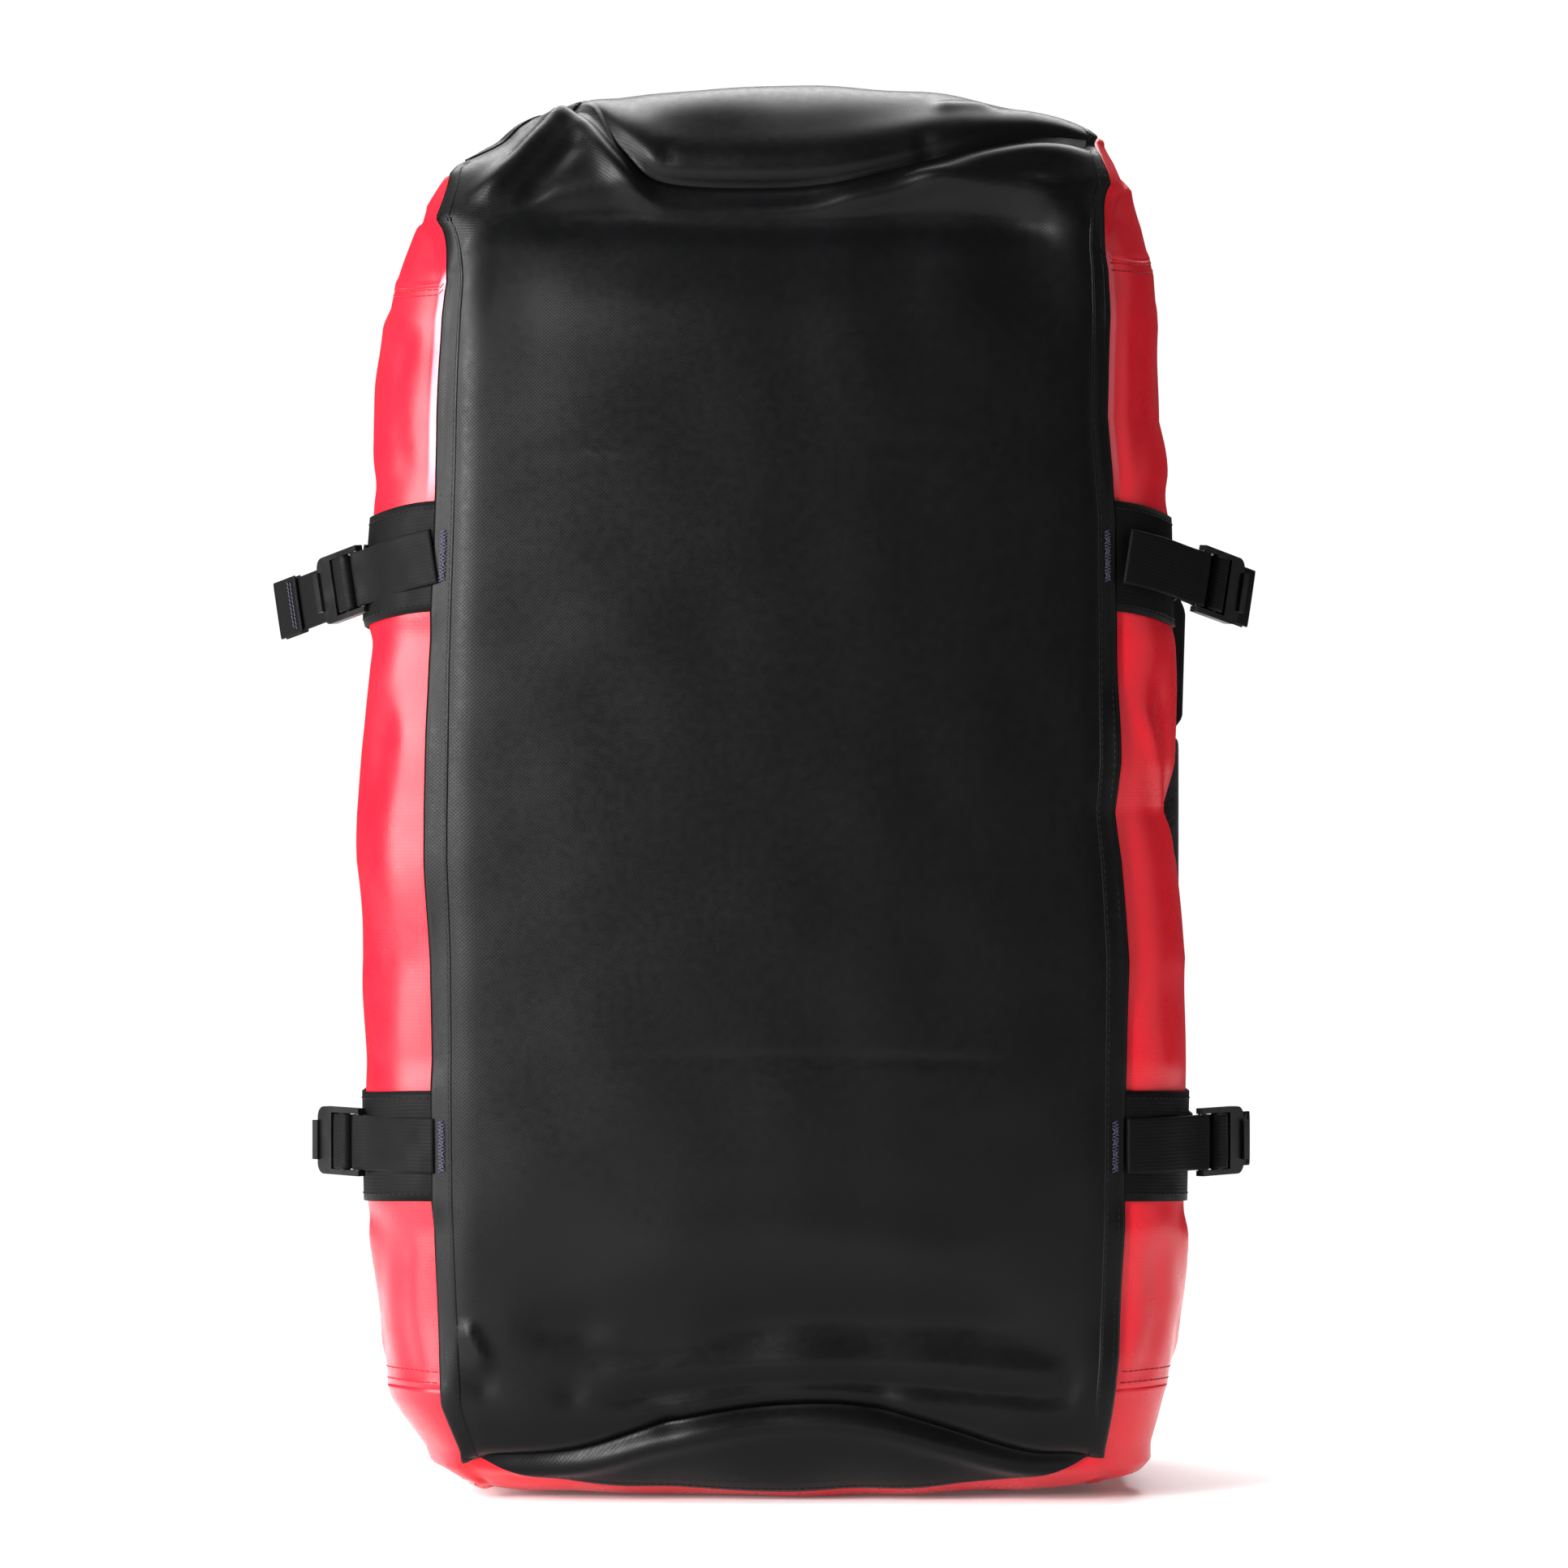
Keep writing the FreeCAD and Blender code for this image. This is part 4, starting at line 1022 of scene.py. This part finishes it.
def lock_frame(level, side):
    """From a lock's local axes to the row frame."""
    along = Vector((math.cos(LOCK_LEAVES), math.sin(LOCK_LEAVES), 0))
    inward = Vector((-math.sin(LOCK_LEAVES), math.cos(LOCK_LEAVES), 0))
    m = axes(corner_point(LOCK_LEAVES) + along * LOCK_REACH, along, inward)
    if level == "high":
        a = (START_ANGLE + LOCK_LEAVES) / 2
        pivot = Matrix.Translation(corner_point(START_ANGLE))
        m = pivot @ Matrix.Rotation(-DROOP, 4, Vector((math.sin(a), -math.cos(a), 0))) @ pivot.inverted() @ m
    return FLIP[side] @ Matrix.Translation((0, 0, BAND_Z[level])) @ m


def web(name, m, points, node, radius=0.0016, width=STRAP_W, thickness=STRAP_T):
    """A strap through points x, y in a lock's axes."""
    path = resample(rounded_path([(x, y, 0) for x, y in points], radius), 0.0016)
    sweep(name, placed(m, path), direction(m, (0, 0, 1)), oval(width / 2, thickness / 2), node)


def round_bar(start, low):
    """A strap that goes round a lock's bar and comes back, in the lock's axes."""
    turn = np.radians(np.linspace(-100, 130, 10))
    loop = zip(BAR_LOOP_R * np.cos(turn), BAR_LOOP_R * np.sin(turn))
    return [Vector((x, y, 0)) for x, y in ((start, low), (-0.0045, -0.0009), *loop, (-0.0042, 0.0016),
                                           (start, 0.0014))]


for side in SIDES:
    for level, z in BAND_Z.items():
        corner = f"{level}_{side}"
        tail = f"strap_tail_{corner}"
        m = lock_frame(level, side)
        # The anchor strap comes from under the base panel's hem, round the corner and onto the bar.
        to_lock = m.inverted() @ FLIP[side] @ Matrix.Translation((0, 0, z))
        aside = Vector((-LOCK_REACH, 0, 0)) - to_lock @ corner_point(LOCK_LEAVES)
        path = [to_lock @ corner_point(a) + aside * float((a - START_ANGLE) / (LOCK_LEAVES - START_ANGLE))
                for a in np.linspace(START_ANGLE + math.radians(0.3), LOCK_LEAVES, 5)]
        path = resample(placed(m, smooth_path(path + round_bar(-0.012, 0.0), 4)), 0.0016)
        sweep(f"anchor_web_{corner}", path, direction(m, (0, 0, 1)),
              oval(STRAP_W / 2, STRAP_T / 2 - 0.00005), f"anchor_strap_{corner}")

        beyond, folded = FREE_ENDS[level, side]
        end = 0.031 + beyond
        web(f"tail_{corner}", m, [(0.007, 0.0031), (0.007, -0.0032), (0.0165, -0.0032), (0.0165, FREE_Y),
                                  (end * 0.7, FREE_Y + 0.0008), (end, FREE_Y)], tail, radius=0.0022)
        back, swing, depth = (0.014, 0.0011, 1.95) if folded else (0.004, 0.00044, 0.55)
        if folded:
            behind = [(end - x, FREE_Y + STRAP_T + y) for x, y in ((0.018, 0), (0.009, 0.0001), (0.0002, 0))]
            in_front = [(x, y - 2.05 * STRAP_T) for x, y in behind]
            web(f"tail_fold_{corner}", m, behind, tail, width=STRAP_W + 0.002)
            web(f"tail_fold_front_{corner}", m, in_front, tail, width=STRAP_W + 0.0018, thickness=0.0011)
        rows = np.linspace(-0.0105, 0.0105, 22)
        at = [(end - back + (swing if i % 2 else -swing), FREE_Y - depth * STRAP_T, w)
              for i, w in enumerate(rows)]
        many(f"tail_tack_{corner}", placed(m, at), direction(m, (0.35, 0, 1)), direction(m, (0, -1, 0)),
             (0.0020, 0.0006, 0.0005), TACK, tail)


# Handles

HANDLE_LIFT = 0.024
SIDE_SPAN = (BAND_Z["high"] - BAND_Z["low"]) / 2
END_SPAN = 0.085
GRIP_HALF = 0.060
ROD_R = 0.0032
TAB_T = 0.0016
AXIS_HEIGHT = 0.0035
HANDLE_ANGLE, SIDE_LEAN, END_LEAN = (math.radians(a) for a in (17, 75, 78))
END_HANDLE_Y = 0.060
LOW_FACE = 0.023  # bottom of the lower end's recess
TAB_SPREAD = math.radians(5.5)


def gathered(flat, cord, half_width, half_height, count=20):
    """Sections of webbing: a round cord where flat is 0, spread out where it is 1."""
    return np.array([oval(cord + (half_width - cord) * k, cord - (cord - half_height) * k, 2 + 3 * k, count)
                     for k in flat])


def handle(name, m, span, node):
    """A handle's webbing, turning on the local Z axis and standing out along X, as the CAD handle does."""
    legs = rounded_path([(0, 0, -span), (HANDLE_LIFT, 0, -GRIP_HALF), (HANDLE_LIFT, 0, GRIP_HALF),
                         (0, 0, span)], 0.010, 8)[1:-1]
    low, high = ([(0, 0, way * (span + reach)) for reach in reaches]
                 for way, reaches in ((-1, (0.0105, 0.004)), (1, (0.004, 0.0105))))
    path = resample(np.concatenate([low, legs, high]), 0.0022)
    # Flat in the middle of each leg, gathered at the turning line and inside the grip
    z = np.abs(path[:, 2])
    flat = smooth(z, span - 0.004, span - 0.022) * smooth(z, GRIP_HALF - 0.008, GRIP_HALF + 0.004)
    sweep(f"{name}_webbing", placed(m, path), direction(m, (0, 1, 0)),
          gathered(flat, ROD_R, 0.0098, 0.0016, 18), node)


def keeper(name, m, z, node, width=0.011, radius=0.0042, tail=0.008):
    """A webbing loop over a handle's gathered end, sewn down both sides. Axes as in the handle, at rest."""
    turn = np.radians(np.linspace(-20, 200, 14))
    foot, near, far = 0.0008 - AXIS_HEIGHT, radius + 0.0025, radius + tail
    points = [(far, foot - 0.0001), (near, foot), *zip(radius * np.cos(turn), radius * np.sin(turn)),
              (-near, foot), (-far, foot - 0.0001)]
    path = smooth_path([(x, y, z) for x, y in points], 3)
    sweep(name, placed(m, path), direction(m, (0, 0, 1)), oval(width / 2, 0.00065, 5.0, 16), node)


def sewn_tab(name, way, angle, z, width, off, thickness, node):
    """A short piece of webbing sewn flat onto the round side."""
    s0, s1 = (WALL_END + HALF * (angle + a) for a in (-TAB_SPREAD, TAB_SPREAD))
    strap_on_skin(name, way, s0, s1, z, width, off, thickness, WEBBING, node)


def on_round(side, height, angle, z, turn):
    """Axes on the round side at an angle, height off it. X points outward, and is turned by turn."""
    r = HALF + height
    at = Matrix.Translation((r * math.cos(angle), AXIS_Y + r * math.sin(angle), z))
    return FLIP[side] @ at @ Matrix.Rotation(angle + turn, 4, "Z")


for side, way in SIDES.items():
    place = side, STRAP_T + TAB_T + AXIS_HEIGHT, HANDLE_ANGLE, sum(BAND_Z.values()) / 2
    handle(f"side_handle_{side}", on_round(*place, SIDE_LEAN), SIDE_SPAN, f"side_handle_web_{side}")
    for (level, z), up in zip(BAND_Z.items(), (-1, 1)):
        keeper(f"side_keeper_{level}_{side}", on_round(*place, -math.pi / 2), up * (SIDE_SPAN + 0.0058),
               "side_handle_tabs")
        sewn_tab(f"side_tab_{level}_{side}", way, HANDLE_ANGLE, z, 0.026, 0.0032, 0.0014, "side_handle_tabs")

for name, face, out in (("top", HEIGHT, 1), ("bottom", LOW_FACE, -1)):
    at = Matrix.Translation((0, END_HANDLE_Y, face + out * (TAB_T + AXIS_HEIGHT)))
    lean = Matrix.Rotation(-END_LEAN, 4, "X") @ Matrix.Rotation(-math.pi / 2, 4, "Y")
    handle(f"haul_handle_{name}", at @ Matrix.Diagonal((1, 1, out, 1)) @ lean, END_SPAN,
           f"haul_handle_web_{name}")
    # Keeper axes: X across the handle's end (row Y), Y away from the bag, Z along the width.
    plain = at @ Matrix(((0, 0, 1, 0), (1, 0, 0, 0), (0, out, 0, 0), (0, 0, 0, 1)))
    for end, way in SIDES.items():
        keeper(f"haul_keeper_{name}_{end}", plain, way * (END_SPAN + 0.0045), "haul_handle_tabs", 0.010)
        path = [(way * END_SPAN, END_HANDLE_Y + dy, face + out * 0.0008) for dy in (-0.015, 0.015)]
        sweep(f"haul_tab_{name}_{end}", resample(path, 0.003), (1, 0, 0), oval(0.0125, 0.0007, 6.0),
              "haul_handle_tabs")


# Padded pieces: blown up a little by a cloth simulation from the CAD solid's shape


def coordinates(mesh):
    co = np.empty(len(mesh.vertices) * 3, np.float32)
    mesh.vertices.foreach_get("co", co)
    return co.reshape(-1, 3).astype(float)


def settle(obj):
    """Applies the piece's modifiers."""
    bpy.context.view_layer.update()
    made = bpy.data.meshes.new_from_object(obj.evaluated_get(bpy.context.evaluated_depsgraph_get()))
    obj.modifiers.clear()
    old, obj.data = obj.data, made
    bpy.data.meshes.remove(old)


def press(obj, depth):
    """Presses a mesh in along its normals. Returns where its points are then."""
    co = coordinates(obj.data) - np.array([p.normal for p in obj.data.vertices], float) * depth
    obj.data.vertices.foreach_set("co", co.ravel())
    return co


def stuffed(name, node, voxel, pressure, cap, finish, shrink):
    """The simulation moves no point by more than cap."""
    mesh = frame["nodes"][node].data.copy()
    mesh.name = name
    mesh.materials.clear()
    obj = bpy.data.objects.new(name, mesh)
    bpy.context.scene.collection.objects.link(obj)
    remesh = obj.modifiers.new("remesh", "REMESH")
    remesh.mode = "VOXEL"
    remesh.voxel_size = voxel
    settle(obj)
    start = press(obj, shrink)
    sim = obj.modifiers.new("cloth", "CLOTH")
    s = sim.settings
    s.quality = 4
    s.mass = 0.15
    s.tension_stiffness = 18
    s.compression_stiffness = 12
    s.shear_stiffness = 8
    s.bending_stiffness = 1.2
    s.use_pressure = True
    s.uniform_pressure_force = pressure
    s.effector_weights.gravity = 0.0
    sim.collision_settings.use_collision = False
    for i in range(1, 16):
        bpy.context.scene.frame_set(i)
    settle(obj)
    move = coordinates(obj.data) - start
    length = np.linalg.norm(move, axis=1, keepdims=True)
    move *= np.minimum(1, cap / np.maximum(length, 1e-9))
    obj.data.vertices.foreach_set("co", (start + move).ravel())
    bpy.context.scene.frame_set(1)
    rounder = obj.modifiers.new("smooth", "SMOOTH")
    rounder.iterations = 3
    rounder.factor = 0.5
    finer = obj.modifiers.new("subdivide", "SUBSURF")
    finer.levels = finer.render_levels = 1
    settle(obj)
    obj.data.materials.append(finish)
    obj.data.shade_smooth()
    stand_for(obj, node)
    return obj


for side in SIDES:
    node = f"shoulder_pad_{side}"
    pad = stuffed(f"shoulder_padding_{side}", node, 0.004, 3.0, 0.0016, PAD, 0.0012)
    # Sewn channels across it
    low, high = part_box(node)
    for z in np.linspace(low.z + 0.042, high.z - 0.042, 5):
        press(pad, 0.0018 * np.exp(-((coordinates(pad.data)[:, 2:] - z) / 0.003) ** 2))
for kind, end in (("side", "right"), ("side", "left"), ("haul", "top"), ("haul", "bottom")):
    stuffed(f"{kind}_handle_padding_{end}", f"{kind}_handle_grip_{end}", 0.0026, 2.0, 0.0007, GRIP,
            0.0006)


# Shoulder straps. Local axes: X outward from the turning line, Y across the strap, Z up.

SHOULDER_ANGLE = math.radians(37)
SHOULDER_LOW, SHOULDER_HIGH = 0.105, 0.540
SHOULDER_BOW = 0.030
SHOULDER_REACH = (SHOULDER_HIGH - SHOULDER_LOW) / 2
BOW_R = (SHOULDER_REACH ** 2 + SHOULDER_BOW ** 2) / (2 * SHOULDER_BOW)
SHOULDER_HEIGHT = 0.0044
SHOULDER_NECK = 0.014
NECK_R = 0.0024
PAD_LOW, PAD_HIGH = 0.226, 0.480


def bow(z):
    """On the strap's bow at height z."""
    rise = z - (SHOULDER_LOW + SHOULDER_HIGH) / 2
    return Vector((SHOULDER_BOW - BOW_R + math.sqrt(BOW_R ** 2 - rise ** 2), 0, z))


def necked(path, end):
    """Sections of webbing that is flat, but gathered to a cord near height end."""
    flat = smooth(np.abs(path[:, 2] - end), 0.012, 0.032)
    return gathered(flat, NECK_R, STRAP_W / 2, STRAP_T / 2)


for side, way in SIDES.items():
    m = on_round(side, SHOULDER_HEIGHT, SHOULDER_ANGLE, 0, 0)
    across = direction(m, (0, 1, 0))
    node = f"shoulder_web_{side}"
    neck_x = bow(SHOULDER_HIGH - 0.018).x - 0.0022
    line = [bow(z) for z in steps(PAD_HIGH - 0.004, SHOULDER_HIGH - 0.024, 0.006)]
    line += [Vector((neck_x, 0, SHOULDER_HIGH - down)) for down in (0.010, 0.001)]
    path = resample(smooth_path(line, 4), 0.0020)
    sweep(f"shoulder_webbing_high_{side}", placed(m, path), across, necked(path, SHOULDER_HIGH), node)

    bar = bow(PAD_LOW - 0.009)
    along = (bow(PAD_LOW - 0.011) - bar).normalized()
    lock = axes(bar, along, Vector((0, 1, 0)).cross(along))
    through = [lock @ Vector((x, y, 0)) for x, y in ((0.007, 0.006), (0.007, -0.0032), (0.0165, -0.0032),
                                                     (0.0165, FREE_Y), (0.053, FREE_Y))]
    neck_x = bow(SHOULDER_LOW + SHOULDER_NECK).x - NECK_R
    line = [Vector((neck_x, 0, SHOULDER_LOW + up)) for up in (0.001, 0.012)]
    line += [bow(SHOULDER_LOW + 0.028), through[0]]
    path = np.concatenate([smooth_path(line)[:-1], rounded_path(through, 0.0022)])
    path = resample(path, 0.0018)
    sweep(f"shoulder_webbing_low_{side}", placed(m, path), across, necked(path, SHOULDER_LOW), node)
    path = resample(smooth_path([lock @ p for p in round_bar(-0.0086, -0.0002)], 4), 0.0014)
    sweep(f"shoulder_loop_{side}", placed(m, path), across, oval(STRAP_W / 2, STRAP_T / 2), node)

    sunk = Matrix.Translation((0, SHOULDER_HEIGHT - AXIS_HEIGHT - 0.0030, 0))
    upright = on_round(side, SHOULDER_HEIGHT, SHOULDER_ANGLE, 0, -math.pi / 2) @ sunk
    for end, z, inward in (("low", SHOULDER_LOW + 0.0035, 0.002), ("high", SHOULDER_HIGH - 0.0035, -0.002)):
        keeper(f"shoulder_keeper_{end}_{side}", upright, z, "shoulder_tabs", 0.009, 0.0038, 0.007)
        sewn_tab(f"shoulder_tab_{end}_{side}", way, SHOULDER_ANGLE, z + inward, 0.020, 0.0015, 0.0013,
                 "shoulder_tabs")


# On and under the lid


def lid_patch(name, x0, x1, z0, z1, off, thickness, finish, node):
    """Cloth on the lid, between two x and two z."""
    s, v = np.meshgrid(s_at(steps(x1, x0, 0.004)), steps(z0, z1, 0.004))
    cloth(name, s, v, off, thickness, finish, node)


def lid_border(name, half, z0, z1, width, off, thickness):
    """A border with mitred corners round a rectangle on the lid. u runs across it."""
    i, j = np.arange(40) / 20 - 1, np.arange(60) / 30 - 1
    x = np.concatenate([-i, -np.ones(60), i, np.ones(60)])
    z = np.concatenate([-np.ones(40), j, np.ones(40), -j])
    inset = np.linspace(width, 0, 6)[:, None]
    s, v = s_at((half - inset) * x), (z0 + z1) / 2 + ((z1 - z0) / 2 - inset) * z
    run = np.linspace(0, 2 * (2 * half + z1 - z0), len(x))
    uv = np.stack(np.broadcast_arrays(inset[::-1], run), -1)
    crown = 0.0004 * (1 - np.linspace(-1, 1, 6)[:, None] ** 2)
    faces = [f[::-1] for f in grid_faces(*s.shape, closed=True)]
    node = name.replace("_tape", "")
    thicken(mesh_piece(name, skin(s, v, off + crown), faces, uv, BINDING, node), thickness)


low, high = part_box("pocket_binding")
half, z0, z1, hem = high.x, low.z, high.z, 0.008
POCKET_ZIP_X, POCKET_ZIP_HALF = -0.060, 0.012
lid_border("pocket_binding_tape", half, z0, z1, hem, -0.0024, 0.0022)
edge = hem - 0.001
at = np.arange(z0 + hem + 0.002, z1 - hem - 0.002, 0.0017)
for side, way in SIDES.items():
    middle, inner, outer = (POCKET_ZIP_X + way * x for x in (0.0011, 0.0018, POCKET_ZIP_HALF))
    lid_patch(f"pocket_mesh_{side}", *sorted((outer, way * (half - edge))), z0 + edge, z1 - edge, -0.0040, 0,
              MESH, "pocket_mesh")
    lid_patch(f"pocket_zip_tape_{side}", *sorted((inner, outer)), z0 + hem, z1 - hem, -0.0036, 0.0008, TAPE,
              "pocket_zip")
    teeth(f"pocket_zip_teeth_{side}", float(s_at(middle)), at + (0.0004 if way > 0 else 0), 0, -1, -0.0052,
          (0.0024, 0.0010, 0.0018), "pocket_zip")

low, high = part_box("id_frame")
half, z0, z1, border = high.x, low.z, high.z, 0.009
for name, edge, off, finish, node in (("id_card_sheet", border + 0.002, 0.0006, CARD, "id_card"),
                                      ("id_window_film", border - 0.001, 0.0011, FILM, "id_window")):
    lid_patch(name, edge - half, half - edge, z0 + edge, z1 - edge, off, 0.0004, finish, node)
lid_border("id_frame_tape", half, z0, z1, border, 0.0013, 0.0013)
for inset in (18, 72):
    a, b, c, e = (side + way * inset * MM / 10 for side, way in ((-half, 1), (half, -1), (z0, 1), (z1, -1)))
    loop = np.array([(b, c), (a, c), (a, e), (b, e), (b, c)])
    fine = np.concatenate([np.linspace(p, q, 20)[:-1] for p, q in zip(loop, loop[1:])])
    stitches(f"id_stitches_{inset}", s_at(fine[:, 0]), fine[:, 1], 0.0017, THREAD, "id_frame")

for level, z in ZIP_RUNS.items():
    s0, s1 = (WALL_END + HALF * math.radians(a) for a in (23, 28))
    strap_on_skin(f"zip_end_tab_{level}", 1, s0, s1, z, 0.018, 0.0030, 0.0028, BINDING, "zip_end_tabs")
    for i, s in enumerate((s0 + 0.003, s1 - 0.003)):
        stitches(f"zip_tab_tack_{level}_{i}", np.full(2, s), (z - 0.0075, z + 0.0075), 0.0032, TACK,
                 "zip_end_tabs", pitch=0.0016, size=(0.0013, 0.0007, 0.0005))

# The hard parts keep their CAD shape.
HARD = (("ladder_lock_", PLASTIC), ("shoulder_lock_", PLASTIC), ("zip_slider_", METAL),
        ("pocket_slider", METAL), ("zip_pull_", RUBBER))
for node, obj in frame["nodes"].items():
    for start, finish in HARD:
        if node.startswith(start):
            obj.data.materials.clear()
            obj.data.materials.append(finish)


# Floor, light and camera


def floor():
    f = Finish("floor", (0.86, 0.86, 0.86), 0.45, Specular_IOR_Level=0.3, Emission_Color=(1, 1, 1, 1),
               Emission_Strength=0.06)
    f.put("Roughness", f.mottle(3.0, 3.0, 0.5, 0.6))
    ring, radii = 96, (0.3, 0.7, 1.1, 1.5)
    turn = np.linspace(0, 2 * math.pi, ring, endpoint=False)
    points = np.array([(0, 0, 0)] + [(r * math.cos(a), r * math.sin(a), 0) for r in radii for a in turn])
    faces = [(0, 1 + i, 1 + (i + 1) % ring) for i in range(ring)]
    faces += [[1 + k for k in q[::-1]] for q in grid_faces(len(radii), ring, closed=True)]
    mesh_piece("floor", points, faces, points[:, :2], f.material)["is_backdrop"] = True


def area_light(name, at, towards, size, power):
    light = bpy.data.lights.new(name, "AREA")
    light.shape = "RECTANGLE"
    light.size, light.size_y = size
    light.energy = power
    obj = bpy.data.objects.new(name, light)
    obj.location = at
    obj.rotation_euler = (Vector(towards) - Vector(at)).to_track_quat("-Z", "Y").to_euler()
    bpy.context.scene.collection.objects.link(obj)


def sky():
    """Dim as a light, white to the camera."""
    world = bpy.data.worlds.new("studio")
    bpy.context.scene.world = world
    world.use_nodes = True
    tree = world.node_tree
    back = next(n for n in tree.nodes if n.type == "BACKGROUND")
    back.inputs["Color"].default_value = (1, 1, 1, 1)
    seen = tree.nodes.new("ShaderNodeLightPath")
    span = tree.nodes.new("ShaderNodeMapRange")
    span.inputs["To Min"].default_value = 0.06
    span.inputs["To Max"].default_value = 1.02
    tree.links.new(seen.outputs["Is Camera Ray"], span.inputs["Value"])
    tree.links.new(span.outputs[0], back.inputs["Strength"])


floor()
sky()
middle = (0, 0, HEIGHT / 2)
area_light("softbox_left", (-2.2, -0.95, 1.0), middle, (1.5, 2.0), 155)
area_light("key", (-1.5, -2.15, 0.95), (-0.05, 0, 0.36), (0.45, 1.2), 125)
area_light("softbox_right", (2.3, -0.55, 0.9), middle, (1.7, 2.2), 9)
area_light("top", (0.0, 1.3, 2.5), (0, 0.3, 0), (2.8, 2.0), 165)

camera = bpy.data.cameras.new("camera")
camera.sensor_width = 36.0
camera.lens = 152.4
eye = bpy.data.objects.new("camera", camera)
eye.location = (0.0015, BASE_Y - 3.0, 0.3268)
eye.rotation_euler = (math.pi / 2, 0, 0)
bpy.context.scene.collection.objects.link(eye)
bpy.context.scene.camera = eye
bpy.context.scene.view_settings.view_transform = "Standard"

low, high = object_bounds()
